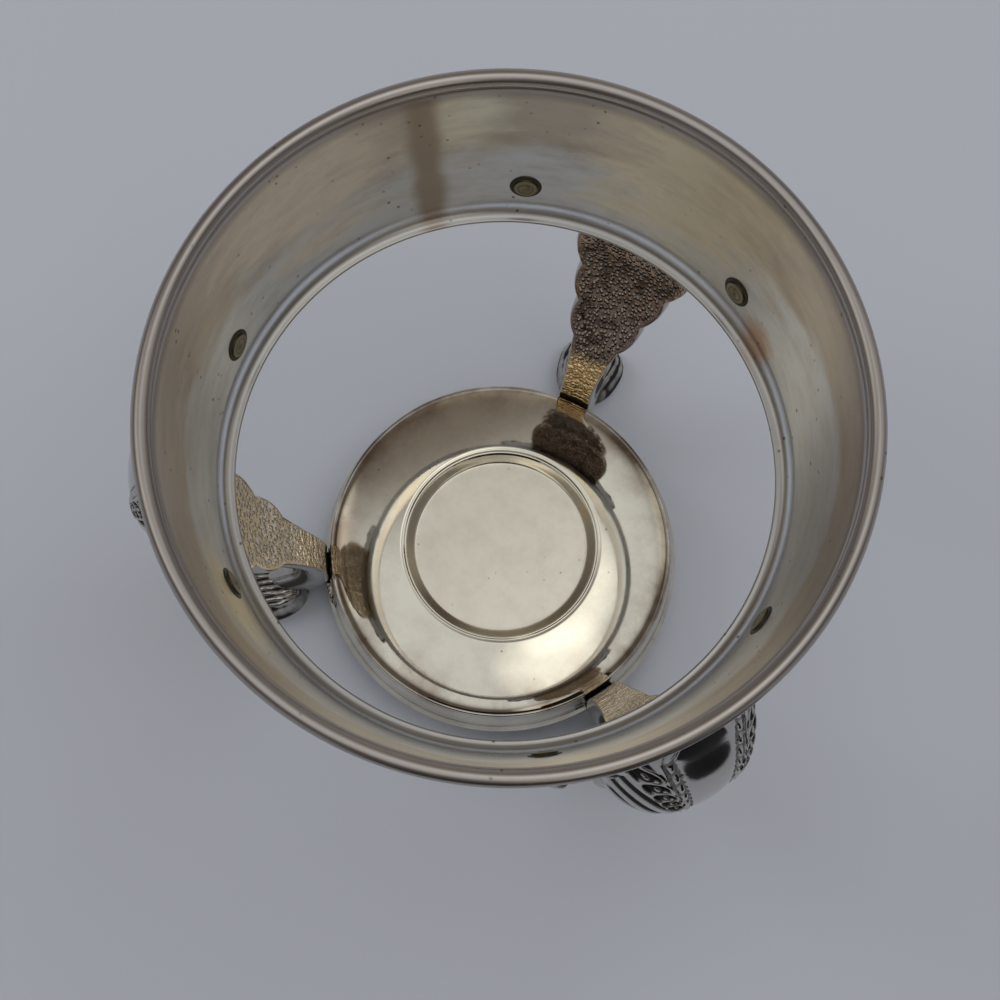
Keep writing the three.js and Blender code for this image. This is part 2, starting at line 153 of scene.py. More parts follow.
def lengths(group):
    """The group's lengths as plain numbers in millimetres, with the sizes that follow from them"""
    own = [p.identifier for p in group.bl_rna.properties if p.unit == "LENGTH"]
    m = SimpleNamespace(**{name: getattr(group, name) / MM for name in own})
    m.twist, m.foot_twist = group.twist, group.foot_twist
    m.gap = 0.3
    m.bead_height = m.height - m.bead
    m.wall_foot = m.lip_height + m.lip_round
    m.knee = m.rim + m.knee_reach
    m.knee_height = m.lip_height - 3.5
    m.leg_top = m.height - 12
    m.rivet_height = m.lip_height + 10.1
    m.ankle_height = m.dish_edge + 4
    m.ankle_back = m.dish + 1.6
    return m


def settings(scene):
    """What every operator starts from: the lengths, the finish and the studio"""
    return lengths(scene.stand_sizes), scene.stand_finish, scene.stand_studio


# Meshes from grids of points

def arc(r, h, radius, start, stop, count):
    """Points on an arc about (r, h), from one angle to another in degrees, both ends included"""
    a = np.radians(np.linspace(start, stop, count))
    return np.stack([r + radius * np.cos(a), h + radius * np.sin(a)], axis=1)


def line(start, stop, count):
    """Points from start up to but not including stop"""
    t = np.linspace(0, 1, count, endpoint=False)[:, None]
    return np.array(start, float) * (1 - t) + np.array(stop, float) * t


def turned(profile, columns):
    """A profile turned about the upright axis: (r, h) goes to (r cos a, r sin a, h) for each angle a"""
    a = np.linspace(0, 2 * np.pi, columns, endpoint=False)
    r = profile[:, :1]
    h = np.broadcast_to(profile[:, 1:], (len(profile), columns))
    return np.stack([r * np.cos(a), r * np.sin(a), h], axis=2)


def shell(grid, wrap=False):
    """Points and faces of a closed shell. Each row of the grid is a closed ring, and quads join it to
    the next. With wrap the last row joins the first, otherwise a fan to its middle closes each end.
    If the signed volume, the sum of a . (b x c) / 6 over its triangles, is negative, faces are turned."""
    rows, columns, _ = grid.shape
    points = grid.reshape(-1, 3)
    i = np.arange(rows if wrap else rows - 1)[:, None]
    j = np.arange(columns)[None, :]
    k = (j + 1) % columns
    after = (i + 1) % rows
    quads = np.stack([i * columns + j, i * columns + k, after * columns + k, after * columns + j], axis=2)
    quads = quads.reshape(-1, 4)
    fans = np.zeros((0, 3), int)
    if not wrap:
        ends = np.stack([grid[0].mean(axis=0), grid[-1].mean(axis=0)])
        n = len(points)
        points = np.concatenate([points, ends])
        last = (rows - 1) * columns
        first_fan = np.stack([np.full(columns, n), k[0], j[0]], axis=1)
        last_fan = np.stack([np.full(columns, n + 1), last + j[0], last + k[0]], axis=1)
        fans = np.concatenate([first_fan, last_fan])
    a, b, c = (points[np.concatenate([quads[:, 0], quads[:, 0], fans[:, 0]])],
               points[np.concatenate([quads[:, 1], quads[:, 2], fans[:, 1]])],
               points[np.concatenate([quads[:, 2], quads[:, 3], fans[:, 2]])])
    if np.einsum("ij,ij->i", a, np.cross(b, c)).sum() < 0:
        quads, fans = quads[:, ::-1], fans[:, ::-1]
    return points, quads, fans


def add_piece(name, shells, material, seat_height, values=None):
    """One object from closed shells in millimetres above the table, lowered to the burner seat.
    values holds point attributes, each as one array for every shell"""
    mesh = bpy.data.meshes.new(name)
    points, faces, start = [], [], 0
    for p, quads, fans in shells:
        points.append(p)
        faces += (quads + start).tolist() + (fans + start).tolist()
        start += len(p)
    points = (np.concatenate(points) - (0, 0, seat_height)) * MM
    mesh.from_pydata(points, [], faces)
    mesh.polygons.foreach_set("use_smooth", np.ones(len(faces), bool))
    for key, arrays in (values or {}).items():
        attribute = mesh.attributes.new(key, "FLOAT", "POINT")
        attribute.data.foreach_set("value", np.concatenate(arrays).astype(np.float32))
    mesh.materials.append(material)
    mesh.update()
    piece = bpy.data.objects.new(name, mesh)
    bpy.context.scene.collection.objects.link(piece)
    return piece


def stand_for(piece, slot, *nodes):
    """The piece rides on the stand and takes the place of the nodes. slot is not used"""
    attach(piece, "root")
    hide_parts(*nodes)


def smooth_noise(x, y, seed):
    """Random heights between -1 and 1 on a unit grid, blended between its points by 3t2 - 2t3"""
    table = np.random.default_rng(seed).uniform(-1, 1, (64, 64))
    i, j = np.floor(x).astype(int), np.floor(y).astype(int)
    u, v = x - i, y - j
    u, v = u * u * (3 - 2 * u), v * v * (3 - 2 * v)
    i, j = i % 64, j % 64
    k, l = (i + 1) % 64, (j + 1) % 64
    low = table[i, j] * (1 - u) + table[k, j] * u
    high = table[i, l] * (1 - u) + table[k, l] * u
    return low * (1 - v) + high * v


def ratio(x, low, high):
    """0 below low, 1 above high, and straight between them. low may be the larger of the two"""
    return np.clip((x - low) / (high - low), 0, 1)


def ramp(x, low, high):
    """0 below low, 1 above high, and 3t2 - 2t3 between them, where t is the ratio"""
    t = ratio(x, low, high)
    return t * t * (3 - 2 * t)


def through(stations):
    """A smooth curve of a value against height through chosen stations: cubic pieces, whose slope at
    each station is the mean slope there"""
    height, value = np.array(sorted(stations), float).T
    slope = np.gradient(value, height)

    def at(h):
        h = np.clip(h, height[0], height[-1])
        i = np.clip(np.searchsorted(height, h) - 1, 0, len(height) - 2)
        step = height[i + 1] - height[i]
        t = (h - height[i]) / step
        rise = value[i] * (1 + 2 * t) * (1 - t) ** 2 + value[i + 1] * t * t * (3 - 2 * t)
        return rise + step * (slope[i] * t * (1 - t) ** 2 - slope[i + 1] * t * t * (1 - t))

    return at


# Collar and its wire

# Groove under the roll: depth, half width and how far down. Lip: its flat, and the rise to the wall
GROOVE_DEPTH, GROOVE_HALF, GROOVE_DOWN, LIP_FLAT, LIP_RISE = 0.3, 0.7, 1.05, 0.5, 4.2
ROLL_END = -115


def collar_inner(m, h):
    """Inner radius of the collar: a straight flare from the bend to the roll, plus a parabola for the
    belly"""
    t = np.clip((h - m.wall_foot) / (m.bead_height - m.wall_foot), 0, 1)
    return m.rim - 2 * m.bead - m.flare * (1 - t) + m.belly * 4 * t * (1 - t)


def collar_outer(m, h):
    """Outer radius of the collar"""
    return collar_inner(m, h) + m.sheet


def collar_profile(m):
    """Section of the collar, round once: under the lip, up the outside, round the inside of the roll to
    its cut end, back over the roll, down the inside past a narrow groove under the roll, and the lip"""
    half = m.sheet / 2
    bend = collar_outer(m, m.wall_foot) - m.lip_round
    tip = bend - m.lip_reach + m.sheet
    centre = m.rim - m.bead
    end = math.radians(ROLL_END)
    end_r = centre + (m.bead - half) * math.cos(end)
    end_h = m.bead_height + (m.bead - half) * math.sin(end)
    up = np.linspace(m.wall_foot, m.bead_height, 36)[1:-1]
    flat = tip + LIP_FLAT
    turn = np.linspace(0, np.pi / 2, 14)[1:]
    foot = m.lip_height + m.sheet + LIP_RISE
    down = np.linspace(m.bead_height - GROOVE_DOWN, foot, 72)
    groove = GROOVE_DEPTH * np.exp(-((down - m.bead_height + GROOVE_DOWN) / GROOVE_HALF) ** 2)
    return np.concatenate([
        line((tip, m.lip_height), (bend, m.lip_height), 6),
        arc(bend, m.wall_foot, m.lip_round, -90, 0, 14),
        np.stack([collar_outer(m, up), up], axis=1),
        arc(centre, m.bead_height, m.bead - m.sheet, 180, ROLL_END, 28),
        arc(end_r, end_h, half, ROLL_END - 180, ROLL_END, 8)[1:-1],
        arc(centre, m.bead_height, m.bead, ROLL_END, 212, 56),
        np.stack([collar_inner(m, down) + groove, down], axis=1),
        np.stack([flat + (collar_inner(m, foot) - flat) * np.cos(turn), foot - LIP_RISE * np.sin(turn)],
                 axis=1),
        line((flat, m.lip_height + m.sheet), (tip, m.lip_height + m.sheet), 5)[1:],
        arc(tip, m.lip_height + half, half, 90, 270, 8)[:-1],
    ])


# Burner dish

DISH_SHEET, SKIRT_BEAD, FILLET = 0.9, 0.8, 0.22


def dome_height(m, r):
    """Height of the dome: it falls gently from the ring, as 1.4 t + 1.55 t squared, and rolls over at
    the edge with the 17th power of t"""
    start = m.seat + 3.1
    t = np.clip((r - start) / (m.dish - start), 0, 1)
    return m.ring_top - 1.4 * t - 1.55 * t ** 2 - (m.ring_top - m.dish_edge - 2.95) * t ** 17


def skirt_radius(m, h):
    """Outer radius of the skirt, which widens evenly to its foot"""
    return m.dish + m.skirt_flare * (m.dish_edge - h) / (m.dish_edge - m.skirt_foot)


def dish_profile(m):
    """Section of the dish from the seat's middle out, over the ring and dome, down the skirt to its
    bead, and back underneath to the axis"""
    sheet, bead = DISH_SHEET, SKIRT_BEAD
    slope = math.degrees(math.atan2(2.2, m.ring_top - m.seat_height))
    ring = m.seat + 2.26
    dome = m.dish - 0.8 - (m.dish - m.seat - 4.3) * np.linspace(1, 0, 66) ** 1.5
    bead_at = skirt_radius(m, m.skirt_foot) + bead - sheet
    skirt = np.linspace(m.dish_edge - 1.0, m.skirt_foot + 1.9, 26)
    line_at = (m.dish_edge + m.skirt_foot) / 2 + 0.6
    fillet = FILLET * np.exp(-((skirt - line_at) / 0.45) ** 2)
    inside = np.linspace(m.skirt_foot + 2 * bead, m.dish_edge - 1.3, 10)
    under = dome[::-3]
    return np.concatenate([
        line((0.5, m.seat_height), (m.seat - 0.5, m.seat_height), 30),
        arc(m.seat - 0.5, m.seat_height + 0.6, 0.6, -90, -slope, 7),
        line((m.seat + 0.4, m.seat_height + 0.8), (ring - 0.65, m.ring_top - 0.55), 6),
        arc(ring, m.ring_top - 0.5, 0.5, 180 - slope, 50, 10),
        [[m.seat + 2.85, m.ring_top - 0.27], [m.seat + 3.15, m.ring_top - 0.16]],
        np.stack([dome, dome_height(m, dome)], axis=1),
        arc(m.dish - 1.0, m.dish_edge + 0.05, 1.05, 60, -8, 12),
        np.stack([skirt_radius(m, skirt) + fillet, skirt], axis=1),
        arc(bead_at, m.skirt_foot + bead, bead, 30, -140, 14),
        np.stack([skirt_radius(m, inside) - sheet, inside], axis=1),
        [[m.dish - 1.6, m.dish_edge - 0.6]],
        np.stack([under, dome_height(m, under) - sheet], axis=1)[1:],
        [[ring + 0.2, m.ring_top - sheet], [m.seat + 0.4, m.seat_height - sheet]],
        line((m.seat, m.seat_height - sheet), (0.5, m.seat_height - sheet), 8),
    ])


# Cast legs

# Leaf lobes down each side: how many, length of the first, share of each to the one above, and bulge
LOBES, LOBE_LENGTH, LOBE_SHRINK, LOBE_RISE = 4, 16.2, 0.84, 1.7
# Scroll beads: how many, radius of the first, share of each to the one above, and first pitch
BEADS, BEAD_SIZE, BEAD_SHRINK, BEAD_PITCH = 5, 1.95, 0.88, 4.3
# Place of the first scroll bead above the knee and out from the middle, and how each step down and in
# shortens: the row's height falls by BEAD_PITCH times 1, 0.93, 0.93 squared and so on
SCROLL_UP, SCROLL_OUT, SCROLL_IN, STEP_DOWN, STEP_IN = 22, 13.5, 1.4, 0.93, 0.85
# Boss: its most as a share of the half width, how domed it is, and its border's width as a share of
# it and at most
BOSS_MOST, BOSS_DOME, BAND_SHARE, BAND_MOST = 0.62, 0.6, 0.4, 2.1
# Rows of cross beads: pitch, how far they slant for each mm out, depth of the grooves and darkness
CROSS_PITCH, CROSS_SLANT, ROW_DEPTH, ROW_DARK = 5.6, 1.1, 0.7, 0.42
# Leaf flutes: spacing, half width as a share of it, climb for each mm out, that climb's slant length
# and depth
FLUTE_SPACING, FLUTE_HALF, FLUTE_CLIMB, FLUTE_SLANT, FLUTE_DEPTH = 4.6, 0.24, 1.67, 1.95, 0.75
# Wings: half angle, thickness, half height and thickness of the rim
WING_ANGLE, WING_THICK, WING_HALF_HEIGHT, WING_EDGE = math.radians(27.4), 7.3, 9.5, 1.4
# Columns of the front: the middle's share of the chased width, the shares of the columns where the
# middle and the chasing end, and the widest half width that is chased
MIDDLE_SHARE, MIDDLE_END, CHASED_END, CHASED_MOST = 0.25, 0.1, 0.74, 16.5
BACK_COLUMNS, FRONT_COLUMNS, SIDE_COLUMNS = 40, 161, 4


def leg_curves(m):
    """The leg's outlines against height: back and front radius, half width and half width of the boss"""
    lip = collar_outer(m, m.wall_foot) + 1
    back, ankle = m.ankle_back, m.ankle_height
    front = back + 8.2
    knee = m.knee_height
    foot = m.rim + 1.5 - m.foot_length / 2
    half, thin = m.knee_half, m.ankle_half
    return SimpleNamespace(
        back=through([(3, back + 8), (m.skirt_foot * 0.6, back + 4.6), (m.skirt_foot, back + 1.4),
                      (ankle, back), (ankle + 12, back + 4.8), (ankle + 30, back + 15.8),
                      (knee - 19, m.knee - 14.5), (m.lip_height, lip), (m.leg_top, lip)]),
        front=through([(3, foot + 4), (9.5, foot + 1), (m.skirt_foot + 2, front + 3), (ankle - 4, front),
                       (ankle + 5, front + 0.6), (ankle + 16, front + 7), (ankle + 36, front + 18.6),
                       (knee - 14, m.knee - 1.9), (knee, m.knee), (knee + 14, m.knee - 2.6),
                       (knee + 27, m.knee - 8.4), (m.leg_top, collar_outer(m, m.leg_top) + 1.6)]),
        half=through([(3, thin - 0.6), (m.skirt_foot, thin + 0.2), (m.dish_edge - 2, thin + 0.1),
                      (ankle + 4, thin), (ankle + 14, thin + 1.2), (ankle + 32, thin + 5.8),
                      (knee - 24, half - 4.2), (knee - 6, half), (knee + 10, half - 0.5),
                      (m.leg_top - 9, half - 7), (m.leg_top, 4)]),
        boss=through([(3, 1.6), (ankle, 1.4), (knee - 40, 2.6), (knee, 4.9), (knee + 11, 5.7),
                      (knee + 22, 6.8), (knee + 29, 7.5), (m.leg_top, 7.6)]))


def lobe(m, h):
    """Bulge of the leaf lobes: the size of sin(pi n), where n counts lobes down from the first notch
    and each lobe is shorter than the one above it by the same share"""
    top = m.knee_height - 0.3
    share = 1 - (top - h) * (1 - LOBE_SHRINK) / LOBE_LENGTH
    count = np.log(np.clip(share, 1e-3, 1)) / math.log(LOBE_SHRINK)
    return np.where((h < top) & (count < LOBES), np.abs(np.sin(np.pi * count)) ** 0.75, 0)


def wing_share(m, h):
    """Share of the wing at a height: a half circle about the rivets"""
    return np.sqrt(np.clip(1 - ((h - m.rivet_height) / WING_HALF_HEIGHT) ** 2, 0, 1))


def half_width(m, c, h):
    """Half width of the leg: the body with its lobes, or the wings where they reach further"""
    face = collar_outer(m, m.rivet_height) + WING_THICK * 0.6
    body = c.half(h) + LOBE_RISE * lobe(m, h)
    return np.maximum(body, WING_ANGLE * face * wing_share(m, h) ** 0.6)


def front_radius(m, c, h, v, half):
    """Radius of the front's main form at an arc distance v from the middle: the knee falls from its
    crest to the side edge with the root of 1 - t cubed, the wing is a thick band that thins at its
    rim, and the larger of the two shows, rounded where they meet"""
    back = np.maximum(c.back(h), np.where(h > m.lip_height, collar_outer(m, h) + m.gap, 0))
    edge = back + np.minimum(3.0, (c.front(h) - back) * 0.45)
    t = np.clip(np.abs(v) / np.minimum(c.half(h), half), 0, 1)
    knee = edge + (c.front(h) - edge) * np.sqrt(1 - t ** 3)
    share = wing_share(m, h)
    across = np.abs(v) / (half + WING_EDGE)
    thick = WING_THICK - 1.3 * ramp(np.abs(v), 17, 22) * ramp(np.abs(v), 30, 25)
    wing = collar_outer(m, h) + m.gap + WING_EDGE + (thick - WING_EDGE) * share * np.sqrt(1 - across ** 8)
    joined = 0.5 * (knee + wing + np.sqrt((knee - wing) ** 2 + 0.5)) - 0.2
    return np.where(share > 0, np.maximum(joined, knee), knee)


def front_relief(m, c, h, v, half):
    """Chasing on the front as a height above the main form, and how dark it is, as patina in its hollows and
    as painted dark reflection on the scroll beads: a smooth boss with a thin border, a row of cross beads
    between two grooves, graduated round beads in deep C scrolls, and a leaf whose flutes run up and out into
    the wings"""
    a = np.abs(v)
    body = np.minimum(c.half(h), half)
    boss = np.minimum(c.boss(h), body * BOSS_MOST)
    slope = np.gradient(c.front(h[:, 0]), h[:, 0])
    run = np.cumsum(np.sqrt(1 + slope ** 2) * np.gradient(h[:, 0]))[:, None]
    band = np.minimum(BAND_SHARE * boss, BAND_MOST)
    x = (a - boss) / band
    on_body = ramp(c.front(h) - c.back(h), 2, 8)
    domed = BOSS_DOME * (np.sqrt(np.clip(1 - (a / np.maximum(boss, 0.1)) ** 2, 0, 1)) - 1) * (a < boss)
    cross = np.abs(np.cos(np.pi * (run + CROSS_SLANT * a) / CROSS_PITCH)) ** 0.8
    on_row = np.clip(1 - ((x - 0.62) / 0.42) ** 2, 0, 1) ** 0.5
    grooves = ramp(x, -0.06, 0.1) * ramp(x, 1.3, 1.14)
    row = grooves * (-ROW_DEPTH + 0.85 * cross * on_row)
    row_dark = grooves * ROW_DARK * (1 - ramp(cross * on_row, 0.2, 0.6))
    fillet = 0.12 * np.exp(-((x - 1.36) / 0.1) ** 2)
    across = ((h - m.knee_height - 4) - FLUTE_CLIMB * (a - 15.4)) / FLUTE_SLANT
    place = across / FLUTE_SPACING - np.round(across / FLUTE_SPACING)
    leaf_start = boss + 1.75 * band
    on_leaf = ramp(a, leaf_start, leaf_start + 1.5) * ramp(half - a, 0.2, 1.2)
    on_leaf = on_leaf * ramp(h, m.knee_height - 8, m.knee_height + 2) * ramp(h, m.leg_top, m.leg_top - 6)
    cut = np.exp(-(place / FLUTE_HALF) ** 4) * on_leaf
    edge_h = h - 0.8 * (half - a)
    veins = 0.55 * (np.sqrt(lobe(m, edge_h)) - 1) * ramp(h, m.knee_height - 1, m.knee_height - 7)
    veins = veins * ramp(a, leaf_start, leaf_start + 1.0) * ramp(half - a, 0, 0.9)
    leaf = -FLUTE_DEPTH * cut + veins - 0.12
    relief = np.where(x < 1.5, domed + row + fillet, leaf)
    dark = np.where(x < 1.5, row_dark, np.maximum(cut, -1.2 * veins))
    relief, dark = scroll_beads(m, a, h, relief, dark)
    return on_body * relief, on_body * dark


def scroll_beads(m, a, h, relief, dark):
    """The relief and its darkness with a row of beads laid over them, on each side of the boss. Each bead is
    a ball, the root of 1 - d squared, in a flat well, with a ridge like a C round the well, and each is
    smaller than the one above it by the same share. The well is dark with patina, and the ball is painted
    dark as a dark reflection, except for a painted glint on its top"""
    for i in range(BEADS):
        size = BEAD_SIZE * BEAD_SHRINK ** i
        at_h = m.knee_height + SCROLL_UP - BEAD_PITCH * (1 - STEP_DOWN ** i) / (1 - STEP_DOWN)
        at_v = SCROLL_OUT - SCROLL_IN * (1 - STEP_IN ** i) / (1 - STEP_IN)
        dv, dh = a - at_v, h - at_h
        d = np.hypot(dv, 0.85 * dh) / size
        glint = np.hypot(dv, 0.85 * dh - 0.35 * size) / size
        up = (0.6 * dv + 0.8 * dh) / np.maximum(d * size, 1e-6)
        well = -0.7 * size * ramp(d, 1.35, 1.15)
        ball = size * (0.8 * np.sqrt(np.clip(1 - (d / 0.8) ** 2, 0, 1)) - 0.65)
        ridge = 0.3 * (1 - ramp(up, 0.1, 0.6)) * np.exp(-((d - 1.55) / 0.2) ** 2)
        inside = ramp(d, 1.85, 1.6)
        # Painted dark reflection on the ball and patina in the well, but for a painted glint on the ball's
        # top
        well_patina_and_ball_reflection = ramp(d, 1.42, 1.25) * ramp(glint, 0.2, 0.4)
        relief = relief * (1 - inside) + inside * np.where(d < 0.8, np.maximum(ball, well), well) + ridge
        dark = dark * (1 - inside) + inside * well_patina_and_ball_reflection
    return relief, dark


def leg_heights(m):
    """Heights of the leg's rings: closest at the knee, where the front is chased"""
    stops = [(3.0, 7), (m.skirt_foot, 16), (m.ankle_height - 6, 170), (m.knee_height - 2, 170),
             (m.lip_height + 24, 14)]
    parts = [np.linspace(low, high, count, endpoint=False) for (low, count), high
             in zip(stops, [s[0] for s in stops[1:]] + [m.leg_top])]
    return np.concatenate(parts + [[m.leg_top]])


def twist_at(m, h):
    """Turn of the leg's middle at a height: none above the knee, and all of it at the ankle"""
    return m.twist * ramp(h, m.knee_height, m.ankle_height)


def blurred(field, size):
    """Mean of a field over a square window of its grid"""
    for axis in (0, 1):
        width = [(size, size) if k == axis else (0, 0) for k in (0, 1)]
        total = np.cumsum(np.pad(field, width, mode="edge"), axis=axis)
        n = total.shape[axis]
        high = np.take(total, range(2 * size, n), axis=axis)
        low = np.take(total, range(0, n - 2 * size), axis=axis)
        field = (high - low) / (2 * size)
    return field


def leg_body(m):
    """The leg as rings at many heights, each ring a back, a side, a front and a side. Returns the grid and
    its point attributes: how dark it is from 0 to 1, as patina in its hollows and at the joint with the dish
    and as painted dark reflection on the scroll beads, where the back is and where it is pebbled, and the
    place on the back, across and along it in millimetres"""
    c = leg_curves(m)
    h = leg_heights(m)[:, None]
    half = half_width(m, c, h)
    back = c.back(h)
    behind = collar_outer(m, h) + m.gap
    t = ramp(h, m.lip_height - m.gap, m.wall_foot)
    back = back * (1 - t) + behind * t
    bead_room = np.sqrt(np.clip(1.1 ** 2 - (h - m.skirt_foot - 0.8) ** 2, 0, None))
    near_dish = (h < m.dish_edge + 0.5) & (h > m.skirt_foot - 0.5)
    back = np.where(near_dish, np.maximum(back, skirt_radius(m, h) + m.gap), back)
    back = np.maximum(back, np.where(bead_room > 0, m.dish + m.skirt_flare - 0.1 + bead_room, 0))
    edge_r = front_radius(m, c, h, half, half)
    shoulder = np.minimum(0.6, 0.1 * half)
    u = np.linspace(1, -1, BACK_COLUMNS)[None, :]
    back_v = u * (half - shoulder)
    slope = np.gradient(c.back(h[:, 0]), h[:, 0])[:, None]
    run = np.cumsum(np.sqrt(1 + slope ** 2) * np.gradient(h[:, 0])[:, None], axis=0)
    fade = ramp(h, m.lip_height + 1, m.lip_height - 1) * ramp(h, m.ankle_height - 7, m.ankle_height - 3)
    margin = ramp(np.abs(back_v), half - shoulder - 0.3, half - shoulder - 0.9 - 0.04 * half)
    rough = 0.12 * smooth_noise(run / 1.7, back_v / 1.7, 11) * fade
    back_r = back + 0.15 + rough
    w = np.linspace(-1, 1, FRONT_COLUMNS)[None, :]
    chased_half = np.minimum(CHASED_MOST, 0.89 * half)
    parts = [chased_half * MIDDLE_SHARE * ratio(np.abs(w), 0, MIDDLE_END),
             chased_half * (1 - MIDDLE_SHARE) * ratio(np.abs(w), MIDDLE_END, CHASED_END),
             (half - chased_half) * ratio(np.abs(w), CHASED_END, 1)]
    front_v = np.sign(w) * sum(parts)
    chased, front_dark = front_relief(m, c, h, front_v, half)
    front_r = front_radius(m, c, h, front_v, half) + chased
    back_a = u * (half - shoulder) / edge_r
    front_a = front_v / np.maximum(front_r, edge_r * 0.99)
    steps = np.linspace(0, 1, SIDE_COLUMNS + 2)[None, 1:-1]
    out = 1 - (1 - steps) ** 4

    def side(b, f):
        """Radius and angle from the back's column b to the front's column f: out first, then forward"""
        rise = back_r[:, [b]] + (front_r[:, [f]] - back_r[:, [b]]) * steps ** 1.6
        return rise, back_a[:, [b]] + (front_a[:, [f]] - back_a[:, [b]]) * out

    right_r, right_a = side(-1, 0)
    left_r, left_a = (field[:, ::-1] for field in side(0, -1))
    radius = np.concatenate([back_r, right_r, front_r, left_r], axis=1)
    angle = np.concatenate([back_a, right_a, front_a, left_a], axis=1) + twist_at(m, h)
    nothing = right_r * 0

    def ring(on_back, on_front=0):
        """A value on the back and one on the front, with none on the sides"""
        return np.concatenate([on_back + 0 * back_r, nothing, on_front + 0 * chased, nothing], axis=1)

    local = np.clip((blurred(chased, 4) - chased) / 0.35, 0, 1) * 0.4
    joint = ramp(h, m.dish_edge + 1.3, m.dish_edge + 0.6)
    marks = {"hollow": ring(joint, np.maximum(front_dark, local)), "is_back": ring(1),
             "pebbled": ring(fade * margin), "across": ring(back_v),
             "along": np.broadcast_to(run, radius.shape)}
    heights = np.broadcast_to(h, radius.shape)
    grid = np.stack([radius * np.cos(angle), radius * np.sin(angle), heights], axis=2)
    return grid, marks


def foot_body(m):
    """The shell foot: ovals from the heel to the toe, each with a level base, an upright edge and an
    arched top. Its reeds follow the size of cos(11 pi q / 2) to the power 0.6 and fan out with the
    width, deepest at the toe"""
    reeds, depth, height, edge, fan, toe_fall, square = 11, 0.85, 10.5, 1.6, 0.14, 0.25, 2.4
    middle = m.rim + 1.5 - m.foot_length / 2
    t = np.sin(np.linspace(-np.pi / 2 * 0.985, np.pi / 2 * 0.985, 60))[:, None]
    oval = (1 - np.abs(t) ** square) ** (1 / square)
    half = m.foot_half * oval * (1 + fan * t)
    top = (height - edge) * oval * (1 - toe_fall * np.maximum(t, 0))
    q = np.sin(np.linspace(np.pi / 2, -np.pi / 2, 132))[None, :]
    reed = np.abs(np.cos(np.pi / 2 * reeds * q)) ** 0.6 - 1
    cut = depth * reed * oval * ramp(t, -0.9, 0.2)
    x = middle + m.foot_length / 2 * t
    rough = 0.16 * smooth_noise((x + 0 * q) / 1.1, half * q / 1.1, 21)
    rough = rough + 0.22 * smooth_noise((x + 0 * q) / 2.6, half * q / 2.6, 22)
    z = edge * oval + top * np.sqrt(1 - q ** 4) + (cut + rough) * np.sqrt(1 - q ** 6)
    base = np.linspace(-1, 1, 14)[None, :]
    y = np.concatenate([half * q, half * base], axis=1)
    z = np.concatenate([np.maximum(z, edge * oval * 0.5), 0 * base * t], axis=1)
    across = np.concatenate([cut + rough, 0 * base * t], axis=1)
    grid = np.stack([np.broadcast_to(x, y.shape), y, z], axis=2)
    hollow = np.clip(0.12 - across / 0.6, 0, 1)
    return turned_by(grid, m.foot_twist), hollow


def turned_by(grid, angle):
    """The grid turned about the upright axis"""
    c, s = math.cos(angle), math.sin(angle)
    return np.stack([grid[..., 0] * c - grid[..., 1] * s, grid[..., 0] * s + grid[..., 1] * c,
                     grid[..., 2]], axis=-1)


def on_shell(field):
    """A field on a shell's grid as one value for each of its points, its two end middles included"""
    return np.concatenate([field.ravel(), [field[0].mean(), field[-1].mean()]])


# Rivets

def rivet_profile(m, grip):
    """Section of a rivet along its own axis, 0 at the sheet's face: dimple, ring, rounded edge, a thin
    dark flange on the sheet, and the shank"""
    head = 0.75
    flange = m.rivet + 0.55
    dimple = 1.7
    a = np.linspace(0, np.pi, 16)
    bowl = np.stack([np.linspace(0.12, dimple, 16), -head + 0.35 * (1 + np.cos(a))], axis=1)
    return np.concatenate([
        bowl,
        line((dimple + 0.25, -head - 0.03), (m.rivet - 0.7, -head + 0.06), 4),
        arc(m.rivet - 0.8, -head + 0.45, 0.42, -85, 0, 8),
        [[m.rivet - 0.3, -0.24], [m.rivet - 0.15, -0.18]],
        [[flange - 0.08, -0.16], [flange, -0.08], [flange, 0.02], [1.5, 0.02], [1.5, grip], [0.12, grip]],
    ])


def on_wall(grid, radius, height, angle, lean):
    """A shape about its own axis set on a wall: its axis points outwards at that angle and leans up"""
    n = np.array([math.cos(angle) * math.cos(lean), math.sin(angle) * math.cos(lean), math.sin(lean)])
    side = np.array([-math.sin(angle), math.cos(angle), 0])
    up = np.cross(n, side)
    place = np.array([radius * math.cos(angle), radius * math.sin(angle), height])
    return place + grid[..., :1] * side + grid[..., 1:2] * up + grid[..., 2:] * n


# Materials

def fill(tree, node, inputs):
    """Links each named or numbered input that is given as a socket, and sets the others"""
    for key, value in inputs.items():
        if isinstance(value, bpy.types.NodeSocket):
            tree.links.new(value, node.inputs[key])
        else:
            node.inputs[key].default_value = value


def add(tree, kind, inputs=None, **settings):
    """Adds a node to a tree with its settings and its inputs"""
    node = tree.nodes.new(kind)
    for name, value in settings.items():
        setattr(node, name, value)
    fill(tree, node, inputs or {})
    return node


def new_material(name):
    """An empty metal: returns the material, its node tree, its shader and Object coordinates"""
    material = bpy.data.materials.new(name)
    material.use_nodes = True
    tree = material.node_tree
    shader = tree.nodes["Principled BSDF"]
    shader.inputs["Metallic"].default_value = 1.0
    place = add(tree, "ShaderNodeTexCoord").outputs["Object"]
    return material, tree, shader, place


def rgba(value):
    """A linear colour with its alpha, from a property or from a hex value"""
    return linear(value) if isinstance(value, str) else (*value, 1.0)


def every(mm):
    """Scale of a pattern whose cells are that many millimetres apart"""
    return 1 / (mm * MM)


